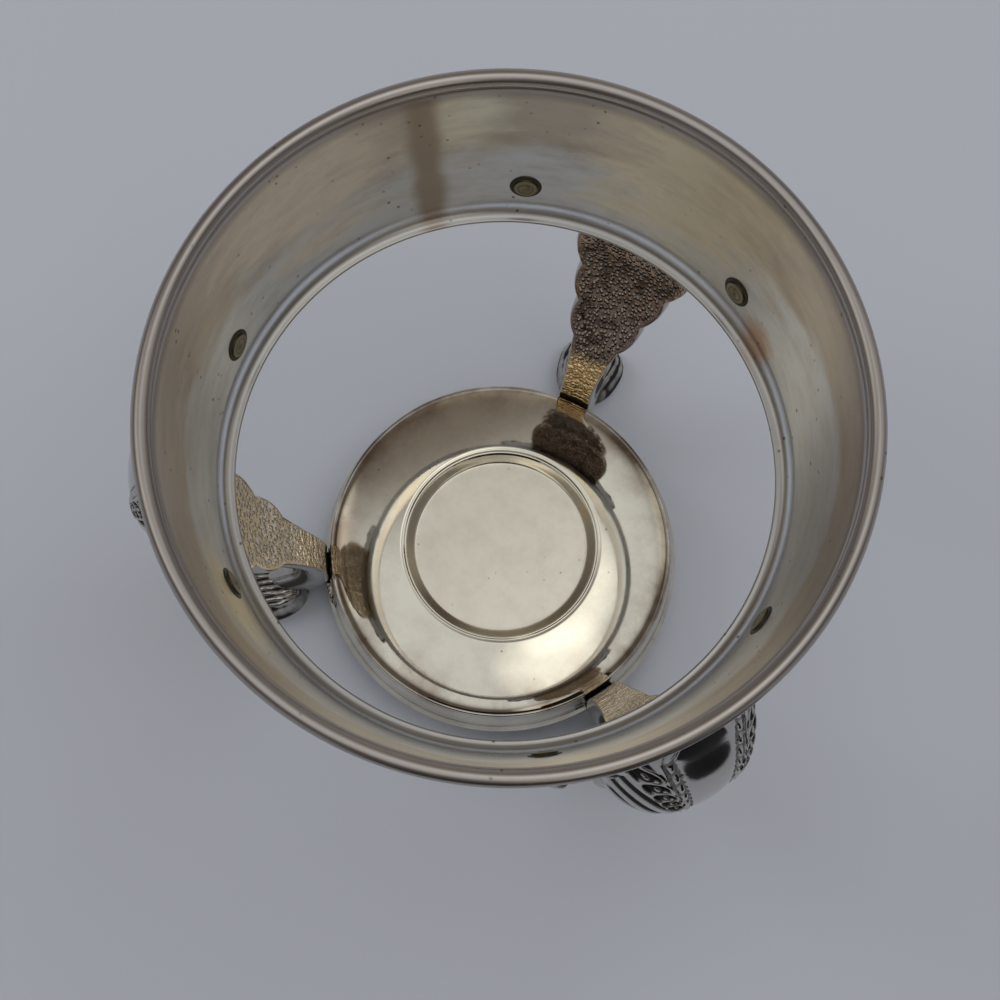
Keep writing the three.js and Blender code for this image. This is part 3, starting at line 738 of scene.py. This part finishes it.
def dress(tree, shader, base, layers, rough, bumps):
    """Dresses a metal: the layers' colours over the base in order, each by its own share, then the
    roughness and the bumps. Each bump is a strength, a depth in metres and a height from 0 to 1"""
    base, normal = rgba(base), {}
    for share, tint in layers:
        base = add(tree, "ShaderNodeMix", {"Factor": share, 6: base, 7: rgba(tint)},
                   data_type="RGBA").outputs[2]
    for strength, depth, height in bumps:
        normal["Normal"] = add(tree, "ShaderNodeBump", {"Strength": strength, "Distance": depth,
                                                        "Height": height, **normal}).outputs[0]
    fill(tree, shader, {"Base Color": base, "Roughness": rough, **normal})


# Stains, deposits and painted light on the metals. On the collar: a painted reflection that makes the plate
# warmer high on the wall, brown plate there, the brown run, the lip, the shade under the roll with its
# tarnish, the roll, specks and haze. On the dish: specks and haze. On the castings: pebble tops made lighter
# as a painted glint with some rubbed wear, dirt between the pebbles, and plate worn through, painted lighter
# also for the light on two of the legs
TINTS = SimpleNamespace(
    high="#D9CFC0", brown="#A5957F", run="#AE9A84", lip="#96908A", under="#8A7C72", roll="#B6AFAB",
    speck="#5E5344", haze="#A39A8C", dish_speck="#6E6454", dish_haze="#B3AB9B", rubbed_and_glint="#F0EAE0",
    dirt="#4A3C33", bare="#FFF2DA")
# Painted reflections and a stain inside the collar: four pale champagne spots are painted highlights, and the
# small pink-brown one low by the lip is a stain. Place and size in metres, and its colour. Each ends at 2.2
# times its size and is full at 1.6 times, less the noise that wanders its edge
REFLECTIONS_AND_STAIN = (((0.0437, 0.0560, 0.109), 0.029, "#FFF3D6"), ((-0.0437, 0.0560, 0.111), 0.026, "#FFF2DC"),
         ((-0.0600, -0.0320, 0.088), 0.014, "#FFF4D4"), ((-0.0090, 0.0710, 0.112), 0.012, "#FFFBE6"),
         ((0.0605, 0.0290, 0.0795), 0.007, "#DDB79C"))
SPOT_END, SPOT_FULL = 2.2, 1.6
# A brown run down the wall: its angle round the collar, and where it ends and is full to each side
RUN_ANGLE, RUN_END, RUN_FULL, RUN_WANDER = (math.radians(angle) for angle in (104, 7, 3.6, 5))


def satin_silver(f):
    """Silver plate on spun brass, brushed round the collar with fine grit: soft stretched reflections.
    Inside, the plate is grey low on the wall. Higher up, a painted reflection makes it warmer, with painted
    champagne highlights. A brown band under the roll is painted shade with tarnish, and there is one brown
    run, with brown specks in patches and a fine haze. Real grit lines are about 0.05 mm apart, too fine to
    show, and are drawn every 0.38 mm"""
    material, tree, shader, place = new_material("Silver plate, spun and brushed")
    axes = add(tree, "ShaderNodeSeparateXYZ", {0: place}).outputs
    inside = add(tree, "ShaderNodeAttribute", attribute_name="inside").outputs["Fac"]
    grit = (every(22.22), every(22.22), every(0.3846))
    brushed = add(tree, "ShaderNodeMapping", {"Vector": place, "Scale": grit}).outputs[0]
    # Stains run round the wall, three times as long as they are high
    streaks = add(tree, "ShaderNodeMapping", {"Vector": place, "Scale": (0.5, 0.5, 1.7)}).outputs[0]
    grain, clouds, wander, patch, haze = (
        add(tree, "ShaderNodeTexNoise", {"Vector": vector, "Scale": scale, "Detail": detail,
                                         "Roughness": rough}).outputs[0]
        for vector, scale, detail, rough in (
            (brushed, 1.0, 3.0, 0.5), (streaks, every(27.78), 3.0, 0.5), (streaks, every(23.81), 5.0, 0.6),
            (place, every(11.11), 2.0, 0.5), (streaks, every(5.263), 8.0, 0.7)))
    specks = add(tree, "ShaderNodeTexVoronoi", {"Vector": place, "Scale": every(3.03)}).outputs["Distance"]
    uneven = add(tree, "ShaderNodeMath", {0: wander, 1: 0.05, 2: axes["Z"]},
                 operation="MULTIPLY_ADD").outputs[0]
    upper_reflection = add(tree, "ShaderNodeMapRange", {0: uneven, 1: 0.119, 2: 0.131, 3: 0.0, 4: 1.0},
                interpolation_type="SMOOTHSTEP").outputs[0]
    # Each row: what it follows, the two values it runs between, and the two shares it gives there.
    # Heights are in metres above the burner seat
    brown, lip, under, bead, near, patch, haze, rough = (
        add(tree, "ShaderNodeMapRange", dict(enumerate(limits))).outputs[0] for limits in (
            (clouds, 0.5, 0.36, 0.0, 0.35), (axes["Z"], 0.0782, 0.0770, 0.0, 0.75),
            (axes["Z"], 0.1165, 0.1190, 0.0, 0.6), (axes["Z"], 0.1190, 0.1198, 0.0, 1.0),
            (specks, 0.17, 0.07, 0.0, 0.85), (patch, 0.52, 0.6, 0.0, 1.0), (haze, 0.45, 0.75, 0.0, 0.3),
            (grain, 0.3, 0.7, 0.28, 0.31)))
    brown, specks = (add(tree, "ShaderNodeMath", {0: one, 1: other}, operation="MULTIPLY").outputs[0]
                     for one, other in ((upper_reflection, brown), (near, patch)))
    # The high tint is a painted reflection that makes the wall warmer high up; brown plate is laid only there
    # too
    tints = [(upper_reflection, TINTS.high), (brown, TINTS.brown)]
    # The four pale spots are painted reflections of the light; the small pink-brown one is a stain
    for spot, size, tint in REFLECTIONS_AND_STAIN:
        off = add(tree, "ShaderNodeVectorMath", {0: place, 1: spot}, operation="DISTANCE").outputs["Value"]
        off = add(tree, "ShaderNodeMath", {0: wander, 1: SPOT_END * size, 2: off},
                  operation="MULTIPLY_ADD").outputs[0]
        share = add(tree, "ShaderNodeMapRange", {0: off, 1: SPOT_END * size, 2: SPOT_FULL * size, 3: 0.0,
                                                 4: 0.9}).outputs[0]
        tints.append((share, tint))
    off = add(tree, "ShaderNodeMath", {0: axes["Y"], 1: axes["X"]}, operation="ARCTAN2").outputs[0]
    off = add(tree, "ShaderNodeMath", {0: off, 1: RUN_ANGLE}, operation="SUBTRACT").outputs[0]
    off = add(tree, "ShaderNodeMath", {0: off}, operation="ABSOLUTE").outputs[0]
    off = add(tree, "ShaderNodeMath", {0: wander, 1: RUN_WANDER, 2: off}, operation="MULTIPLY_ADD").outputs[0]
    run = add(tree, "ShaderNodeMapRange", {0: off, 1: RUN_END, 2: RUN_FULL, 3: 0.0, 4: 0.8},
              interpolation_type="SMOOTHSTEP").outputs[0]
    tints = [(add(tree, "ShaderNodeMath", {0: share, 1: inside}, operation="MULTIPLY").outputs[0], tint)
             for share, tint in (*tints, (run, TINTS.run))]
    dress(tree, shader, f.silver, (
        (inside, f.silver_dull), *tints, (lip, TINTS.lip), (under, TINTS.under), (bead, TINTS.roll),
        (specks, TINTS.speck), (haze, TINTS.haze)), rough, [(0.03, 0.00006, grain)])
    return material


def polished_silver(f):
    """Silver plate on spun brass, buffed to a mirror: sharp reflections with fine hazy scuffs, brown
    blotches towards the dome's edge where hands don't rub it, small dark specks, and a satin seat"""
    material, tree, shader, place = new_material("Silver plate, spun and buffed")
    height = add(tree, "ShaderNodeSeparateXYZ", {0: place}).outputs["Z"]
    level = add(tree, "ShaderNodeVectorMath", {0: place, 1: (1, 1, 0)}, operation="MULTIPLY").outputs[0]
    radius = add(tree, "ShaderNodeVectorMath", {0: level}, operation="LENGTH").outputs["Value"]
    clouds, mist, grain = (
        add(tree, "ShaderNodeTexNoise", {"Vector": place, "Scale": scale, "Detail": detail,
                                         "Roughness": rough}).outputs[0]
        for scale, detail, rough in ((every(18.18), 5.0, 0.6), (every(8.333), 7.0, 0.7),
                                     (every(1.111), 2.0, 0.5)))
    specks = add(tree, "ShaderNodeTexVoronoi", {"Vector": place, "Scale": every(3.846)}).outputs["Distance"]
    on_seat, edge, on_dome, blotch, near, patch, mist, scuffs = (
        add(tree, "ShaderNodeMapRange", dict(enumerate(limits))).outputs[0] for limits in (
            (radius, 0.0246, 0.0240, 0.0, 1.0), (radius, 0.036, 0.0465, 0.0, 1.0),
            (height, -0.0040, -0.0015, 0.35, 1.0), (clouds, 0.42, 0.60, 0.05, 0.85),
            (specks, 0.11, 0.04, 0.0, 0.8), (clouds, 0.5, 0.58, 0.0, 1.0), (mist, 0.42, 0.75, 0.0, 0.35),
            (clouds, 0.4, 0.75, 0.035, 0.10)))
    edge, specks = (add(tree, "ShaderNodeMath", {0: one, 1: other}, operation="MULTIPLY").outputs[0]
                    for one, other in ((edge, on_dome), (near, patch)))
    haze = add(tree, "ShaderNodeMath", {0: blotch, 1: edge}, operation="MULTIPLY").outputs[0]
    rough = add(tree, "ShaderNodeMix", {0: on_seat, 2: scuffs, 3: 0.3}).outputs[0]
    dress(tree, shader, f.silver, (
        (haze, f.tarnish), (specks, TINTS.dish_speck), (mist, TINTS.dish_haze)), rough,
        [(0.05, 0.00003, grain)])
    return material


def cast_metal(f):
    """White metal cast in a mould, plated, and oxidised in the hollows: the pebble tops are painted lighter
    as a glint, with some rubbed wear, and the back turns yellow towards the ankle, where the plate is thin.
    The back is pebbled: round cells 1.35 mm apart, each a small dome, whose copy moved 0.4 mm down the leg is
    a punched crescent wherever the dome doesn't cover it, painted dark as the shade on the lower side of each
    pebble. The black oxide and the painted shade are no metal, so they stay dull"""
    pebble, sway = 1.3514, 0.9
    material, tree, shader, place = new_material("White metal, cast and plated")
    mark = {key: add(tree, "ShaderNodeAttribute", attribute_name=key).outputs["Fac"]
            for key in ("hollow", "is_back", "pebbled", "across", "along", "worn")}
    height = add(tree, "ShaderNodeSeparateXYZ", {0: place}).outputs["Z"]
    clouds, dirt, grain = (
        add(tree, "ShaderNodeTexNoise", {"Vector": place, "Scale": scale, "Detail": detail}).outputs[0]
        for scale, detail in ((every(7.143), 4.0), (every(3.846), 3.0), (every(0.6667), 3.0)))
    back = add(tree, "ShaderNodeCombineXYZ", {0: mark["across"], 1: mark["along"]}).outputs[0]
    waves = add(tree, "ShaderNodeTexNoise", {"Vector": back, "Scale": 0.5, "Detail": 2.0}).outputs["Color"]
    back = add(tree, "ShaderNodeVectorMath", {0: waves, 1: (sway, sway, 0.0), 2: back},
               operation="MULTIPLY_ADD").outputs[0]
    moved = add(tree, "ShaderNodeVectorMath", {0: back, 1: (0.14, 0.40, 0.0)}, operation="ADD").outputs[0]
    cell, lower = (add(tree, "ShaderNodeTexVoronoi", {"Vector": v, "Scale": 1 / pebble, "Randomness": 0.88},
                       voronoi_dimensions="2D").outputs["Distance"] for v in (back, moved))
    uneven = add(tree, "ShaderNodeMath", {0: clouds, 1: 0.006, 2: height},
                 operation="MULTIPLY_ADD").outputs[0]
    dome, outside, punched_shade, low, dirt, patina_and_shade, smooth = (
        add(tree, "ShaderNodeMapRange", dict(enumerate(limits))).outputs[0] for limits in (
            (cell, 0.44, 0.06, 0.0, 1.0), (cell, 0.26, 0.36, 0.0, 1.0), (lower, 0.42, 0.30, 0.0, 1.0),
            (uneven, 0.0205, 0.0160, 0.0, 1.0), (dirt, 0.48, 0.68, 0.0, 0.75),
            (mark["hollow"], 0.1, 0.7, 0.0, 0.97), (mark["is_back"], 0.0, 1.0, 0.09, 0.16)))
    dome = add(tree, "ShaderNodeMath", {0: dome, 1: 0.6}, operation="POWER").outputs[0]
    # Pebble tops made lighter: a painted glint, with some rubbed wear
    rubbed_and_glint = add(tree, "ShaderNodeMapRange", {0: dome, 1: 0.55, 2: 0.9, 3: 0.0, 4: 0.75}).outputs[0]
    punched_shade, dirt, rubbed_and_glint, yellow = (
        add(tree, "ShaderNodeMath", {0: one, 1: other}, operation="MULTIPLY").outputs[0]
        for one, other in ((punched_shade, outside), (dirt, mark["pebbled"]), (rubbed_and_glint, mark["pebbled"]),
                           (low, mark["is_back"])))
    punched_shade = add(tree, "ShaderNodeMath", {0: punched_shade, 1: mark["pebbled"]}, operation="MULTIPLY").outputs[0]
    # The painted crescent shade is fainter on yellow metal and on worn plate, which is also painted lighter
    # for the light on it
    faint = add(tree, "ShaderNodeMapRange", {0: yellow, 1: 0.0, 2: 1.0, 3: 0.95, 4: 0.5}).outputs[0]
    kept = add(tree, "ShaderNodeMath", {0: mark["worn"], 1: -0.45, 2: faint},
               operation="MULTIPLY_ADD").outputs[0]
    crescent_shade = add(tree, "ShaderNodeMath", {0: punched_shade, 1: kept}, operation="MULTIPLY").outputs[0]
    # Dark patina in the hollows, with the painted crescent shade and the painted dark reflection on the
    # scroll beads
    patina_and_shade = add(tree, "ShaderNodeMath", {0: patina_and_shade, 1: crescent_shade}, operation="MAXIMUM").outputs[0]
    rough = add(tree, "ShaderNodeMath", {0: patina_and_shade, 1: 0.6, 2: smooth}, operation="MULTIPLY_ADD").outputs[0]
    metal = add(tree, "ShaderNodeMath", {0: 1.0, 1: patina_and_shade}, operation="SUBTRACT").outputs[0]
    fill(tree, shader, {"Metallic": metal, "Specular IOR Level": 0.1})
    # Where the plate is thin the cast metal's own ripples show, about 3 mm wide and 1.2 mm apart
    ripple = add(tree, "ShaderNodeVectorMath", {0: back, 1: (0.32, 0.85, 0.0)},
                 operation="MULTIPLY").outputs[0]
    ripple = add(tree, "ShaderNodeTexNoise", {"Vector": ripple, "Scale": 1.0, "Detail": 2.0}).outputs[0]
    ripple = add(tree, "ShaderNodeMath", {0: ripple, 1: yellow}, operation="MULTIPLY").outputs[0]
    cast = add(tree, "ShaderNodeMath", {0: punched_shade, 1: -0.8, 2: dome}, operation="MULTIPLY_ADD").outputs[0]
    cast = add(tree, "ShaderNodeMath", {0: cast, 1: mark["pebbled"]}, operation="MULTIPLY").outputs[0]
    cast = add(tree, "ShaderNodeMath", {0: ripple, 1: 8.0, 2: cast}, operation="MULTIPLY_ADD").outputs[0]
    # bare: plate worn through on two legs, painted lighter also for the light on them
    dress(tree, shader, f.casting, (
        (mark["is_back"], f.tarnish), (rubbed_and_glint, TINTS.rubbed_and_glint), (dirt, TINTS.dirt), (yellow, f.worn),
        (mark["worn"], TINTS.bare), (patina_and_shade, f.patina)), rough, [(1.0, 0.0003, cast), (0.12, 0.00008, grain)])
    return material


def rivet_metal(f):
    """Brass rivets, hammered and long tarnished: dull olive heads with a dark line where they meet the
    sheet"""
    material, tree, shader, place = new_material("Brass rivets, tarnished")
    dark = add(tree, "ShaderNodeAttribute", attribute_name="hollow").outputs["Fac"]
    clouds = add(tree, "ShaderNodeTexNoise", {"Vector": place, "Scale": every(1.429),
                                              "Detail": 3.0}).outputs[0]
    spots = add(tree, "ShaderNodeMapRange", {0: clouds, 1: 0.4, 2: 0.75, 3: 0.0, 4: 0.6}).outputs[0]
    dress(tree, shader, f.rivet, ((spots, f.tarnish), (dark, f.patina)), 0.38, [(0.2, 0.00006, clouds)])
    return material


# The studio's dome, from the horizon up: two bands, each with the heights where it starts and is full
HORIZON, BANDS = "#9A9EA6", ((0.10, 0.26, "#5F5852"), (0.62, 0.93, "#DADCDD"))
# Soft patches of light in it: direction, half width in degrees where the patch starts and where it is
# full, and how bright it is
SOFT_BOXES = (((0.16, 0.11, 0.98), 11, 3, 0.55), ((0.16, -0.10, 0.98), 11, 3, 0.55),
              ((-0.66, 0.22, 0.72), 20, 6, 0.55), ((0.75, 0.30, 0.55), 22, 5, 0.4),
              ((0.30, -0.75, 0.60), 16, 4, 0.7), ((0.10, 0.94, 0.34), 34, 12, 0.16))
SOFT_LIGHT = "#FFFAEC"
# A brown cloth high behind the stand, given in the same way, with how much of it shows
CLOTH, CLOTH_COLOUR = ((-0.18, 0.66, 0.73), 32, 10, 0.85), "#665A50"
# Black cards, as silver is photographed: only reflections show them. Each is upright and faces the
# stand: angle round the axis, distance, left and right end, and lowest and highest height in mm
CARDS = {"KneeCard": (316, 154, -90, 0, 52, 122), "FrontCard": (273, 620, -430, 430, 20, 330)}
CARD_COLOUR = "#0B0B0D"
# Lamps that metals don't reflect: which power each has, its size and its place in metres
LAMPS = {"Key": ("key_power", 1.2, (0.35, 0.25, 1.2)), "Side": ("side_power", 0.6, (-0.9, 0.3, 0.8))}
# Half the table's side in mm
TABLE_HALF = 3000.0


def table_paint(f):
    """Matt painted table top"""
    material, tree, shader, _ = new_material("Table top, matt paint")
    fill(tree, shader, {"Metallic": 0.0, "Roughness": 0.9, "Base Color": rgba(f.table)})
    return material


# Operators

class STAND_OT_collar(bpy.types.Operator):
    """Adds the collar with its rolled rim and lip, and the wire in the roll"""
    bl_idname = "stand.collar"
    bl_label = "Add collar"

    def execute(self, context):
        m, finish, studio = settings(context.scene)
        silver = satin_silver(finish)
        profile = collar_profile(m)
        inside = profile[:, 0] < collar_inner(m, profile[:, 1]) + m.sheet / 2
        collar = add_piece("Collar", [shell(turned(profile, studio.columns), wrap=True)], silver,
                           m.seat_height, {"inside": [np.repeat(inside, studio.columns)]})
        stand_for(collar, "silver_satin", "collar_band")
        wire_radius = m.bead - m.sheet - m.gap
        wire = arc(m.rim - m.bead, m.bead_height, wire_radius, 0, 360, 21)[:-1]
        wire_shell = shell(turned(wire, studio.columns), wrap=True)
        dark = {"hollow": [np.full(len(wire_shell[0]), 0.4)]}
        piece = add_piece("RimWire", [wire_shell], rivet_metal(finish), m.seat_height, dark)
        stand_for(piece, "rivet_metal", "rim_wire")
        return {"FINISHED"}


class STAND_OT_dish(bpy.types.Operator):
    """Adds the burner dish"""
    bl_idname = "stand.dish"
    bl_label = "Add dish"

    def execute(self, context):
        m, finish, studio = settings(context.scene)
        dish = add_piece("BurnerDish", [shell(turned(dish_profile(m), studio.columns))],
                         polished_silver(finish), m.seat_height)
        stand_for(dish, "silver_polished", "burner_dish")
        return {"FINISHED"}


class STAND_OT_legs(bpy.types.Operator):
    """Adds the three cast legs"""
    bl_idname = "stand.legs"
    bl_label = "Add legs"

    def execute(self, context):
        m, finish, _ = settings(context.scene)
        metal = cast_metal(finish)
        body, marks = leg_body(m)
        foot, foot_hollow = foot_body(m)
        values = {key: [on_shell(mark), on_shell(foot_hollow * (key == "hollow"))]
                  for key, mark in marks.items()}
        for node, (degrees, wear_and_light) in LEGS.items():
            angle = math.radians(degrees)
            # The back's worn plate, painted lighter also for the light that falls on that leg
            values["worn"] = [on_shell(marks["is_back"] * wear_and_light), on_shell(foot_hollow * 0)]
            shells = [shell(turned_by(body, angle)), shell(turned_by(foot, angle))]
            leg = add_piece(node.title().replace("_", ""), shells, metal, m.seat_height, values)
            stand_for(leg, "cast_metal", node)
        return {"FINISHED"}


class STAND_OT_rivets(bpy.types.Operator):
    """Adds two collar rivets and one dish rivet for each leg"""
    bl_idname = "stand.rivets"
    bl_label = "Add rivets"

    def execute(self, context):
        m, finish, _ = settings(context.scene)
        metal = rivet_metal(finish)
        section = rivet_profile(m, m.sheet + m.gap + RIVET_GRIP)
        wall_lean = -math.atan2(m.flare, m.bead_height - m.wall_foot)
        skirt_lean = math.atan2(m.skirt_flare, m.dish_edge - m.skirt_foot)
        dish_height = m.dish_edge - 5.4
        r = section[:, 0]
        edge = ramp(r, m.rivet - 0.75, m.rivet - 0.4) * (section[:, 1] > -0.7)
        dark = np.maximum(0.78 * edge, 0.55 * ramp(np.abs(r - 1.75), 0.35, 0.0))
        dark = np.repeat(dark[:, None], RIVET_COLUMNS, axis=1)
        for node, (degrees, _) in LEGS.items():
            middle = math.radians(degrees)
            on_collar = collar_inner(m, m.rivet_height), m.rivet_height
            on_skirt = skirt_radius(m, dish_height) - DISH_SHEET, dish_height
            places = [("_rivet_1", *on_collar, middle - RIVET_SIDE, wall_lean),
                      ("_rivet_2", *on_collar, middle + RIVET_SIDE, wall_lean),
                      ("_dish_rivet", *on_skirt, middle + m.twist, skirt_lean)]
            for end, radius, height, angle, lean in places:
                grid = on_wall(turned(section, RIVET_COLUMNS), float(radius), height, angle, lean)
                name = (node + end).title().replace("_", "")
                rivet = add_piece(name, [shell(grid)], metal, m.seat_height, {"hollow": [on_shell(dark)]})
                stand_for(rivet, "rivet_metal", node + end)
        return {"FINISHED"}


class STAND_OT_studio(bpy.types.Operator):
    """Adds the table, the lights, the backdrop and the camera"""
    bl_idname = "stand.studio"
    bl_label = "Add studio"

    def execute(self, context):
        m, finish, studio = settings(context.scene)
        self.add_table(finish, m)
        self.add_world(context.scene)
        for name, (power, size, place) in LAMPS.items():
            self.add_lamp(name, getattr(studio, power), size, place)
        self.add_cards(m)
        self.add_camera(context.scene, studio)
        context.scene.view_settings.view_transform = "Standard"
        return {"FINISHED"}

    def add_flat(self, m, name, corners, material, unseen_by=()):
        """A rectangle of the studio, from its corners in millimetres above the table"""
        mesh = bpy.data.meshes.new(name)
        mesh.from_pydata((corners - (0, 0, m.seat_height)) * MM, [], [(0, 1, 2, 3)])
        mesh.materials.append(material)
        piece = bpy.data.objects.new(name, mesh)
        for ray in unseen_by:
            setattr(piece, "visible_" + ray, False)
        bpy.context.scene.collection.objects.link(piece)

    def add_table(self, finish, m):
        """The table is one level square under the feet"""
        corners = np.array([(-1, -1, 0), (1, -1, 0), (1, 1, 0), (-1, 1, 0)]) * TABLE_HALF
        self.add_flat(m, "Table", corners, table_paint(finish))

    def add_cards(self, m):
        """Each card is an upright rectangle, turned round the axis, that only reflections show"""
        black, tree, shader, _ = new_material("Black card")
        fill(tree, shader, {"Metallic": 0.0, "Base Color": rgba(CARD_COLOUR)})
        for name, (degrees, away, left, right, low, high) in CARDS.items():
            corners = np.array([(away, left, low), (away, right, low), (away, right, high),
                                (away, left, high)], float)
            self.add_flat(m, name, turned_by(corners, math.radians(degrees)), black,
                          ("camera", "diffuse", "shadow", "transmission"))

    def add_world(self, scene):
        """The world is a plain dome, seen alike by the camera and by the metals"""
        world = bpy.data.worlds.new("Studio")
        scene.world = world
        world.use_nodes = True
        tree = world.node_tree
        direction = add(tree, "ShaderNodeTexCoord").outputs["Generated"]
        up = add(tree, "ShaderNodeSeparateXYZ", {0: direction}).outputs["Z"]
        bands = [(add(tree, "ShaderNodeMapRange", {0: up, 1: low, 2: high, 3: 0.0, 4: 1.0},
                      interpolation_type="SMOOTHSTEP").outputs[0], tint) for low, high, tint in BANDS]

        def share_of(place, wide, narrow, gain):
            """Share of a round patch, by the angle between its middle and the direction looked in"""
            facing = add(tree, "ShaderNodeVectorMath", {0: direction, 1: Vector(place).normalized()},
                         operation="DOT_PRODUCT").outputs["Value"]
            return add(tree, "ShaderNodeMapRange", {0: facing, 1: math.cos(math.radians(wide)),
                                                    2: math.cos(math.radians(narrow)), 3: 0.0, 4: gain},
                       interpolation_type="SMOOTHSTEP").outputs[0]

        sky = rgba(HORIZON)
        for share, tint in (*bands, (share_of(*CLOTH), CLOTH_COLOUR)):
            sky = add(tree, "ShaderNodeMix", {"Factor": share, 6: sky, 7: rgba(tint)},
                      data_type="RGBA").outputs[2]
        for box in SOFT_BOXES:
            glow = add(tree, "ShaderNodeVectorMath", {0: linear(SOFT_LIGHT)[:3], "Scale": share_of(*box)},
                       operation="SCALE").outputs[0]
            sky = add(tree, "ShaderNodeVectorMath", {0: sky, 1: glow}, operation="ADD").outputs[0]
        tree.links.new(sky, tree.nodes["Background"].inputs["Color"])

    def add_lamp(self, name, power, size, place):
        """A square lamp aimed at the burner seat"""
        lamp = bpy.data.lights.new(name, "AREA")
        lamp.energy = power
        lamp.size = size
        holder = bpy.data.objects.new(name, lamp)
        holder.visible_glossy = False
        holder.location = place
        holder.rotation_euler = (-Vector(place)).to_track_quat("-Z", "Y").to_euler()
        bpy.context.scene.collection.objects.link(holder)

    def add_camera(self, scene, s):
        """The camera stands at a level distance from the axis and looks down past it. right, up and
        ahead are its own directions, rolled about its line of sight"""
        yaw, pitch, roll = s.camera_yaw, s.camera_pitch, s.camera_roll
        ahead = Vector((math.sin(yaw) * math.cos(pitch), math.cos(yaw) * math.cos(pitch), -math.sin(pitch)))
        right = Vector((math.cos(yaw), -math.sin(yaw), 0))
        up = right.cross(ahead)
        rolled_right = right * math.cos(roll) + up * math.sin(roll)
        rolled_up = up * math.cos(roll) - right * math.sin(roll)
        axes = Matrix((rolled_right, rolled_up, -ahead)).transposed().to_4x4()
        camera = bpy.data.objects.new("Camera", bpy.data.cameras.new("Camera"))
        camera.data.sensor_width = 36
        camera.data.lens = s.camera_lens / MM
        camera.data.clip_start = 0.01
        turn = Matrix.Rotation(s.camera_turn, 4, "Z")
        camera.matrix_world = turn @ Matrix.Translation((0, -s.camera_back, s.camera_height)) @ axes
        scene.collection.objects.link(camera)
        scene.camera = camera


class STAND_PT_panel(bpy.types.Panel):
    """The stand's operators and sizes"""
    bl_idname = "STAND_PT_panel"
    bl_label = "Warming stand"
    bl_space_type = "VIEW_3D"
    bl_region_type = "UI"
    bl_category = "Stand"

    def draw(self, context):
        for operator in OPERATORS:
            self.layout.operator(operator.bl_idname)
        for group in (context.scene.stand_sizes, context.scene.stand_finish, context.scene.stand_studio):
            box = self.layout.box()
            for name in group.__annotations__:
                box.prop(group, name)


OPERATORS = (STAND_OT_collar, STAND_OT_dish, STAND_OT_legs, STAND_OT_rivets, STAND_OT_studio)
GROUPS = {"stand_sizes": StandSizes, "stand_finish": StandFinish, "stand_studio": StandStudio}


def register():
    for one in (*GROUPS.values(), *OPERATORS, STAND_PT_panel):
        bpy.utils.register_class(one)
    for name, group in GROUPS.items():
        setattr(bpy.types.Scene, name, PointerProperty(type=group))


def unregister():
    for name in GROUPS:
        delattr(bpy.types.Scene, name)
    for one in (STAND_PT_panel, *reversed(OPERATORS), *GROUPS.values()):
        bpy.utils.unregister_class(one)


def main():
    """Builds the stand and the studio"""
    register()
    bpy.ops.stand.collar()
    bpy.ops.stand.dish()
    bpy.ops.stand.legs()
    bpy.ops.stand.rivets()
    bpy.ops.stand.studio()


if __name__ == "__main__":
    main()
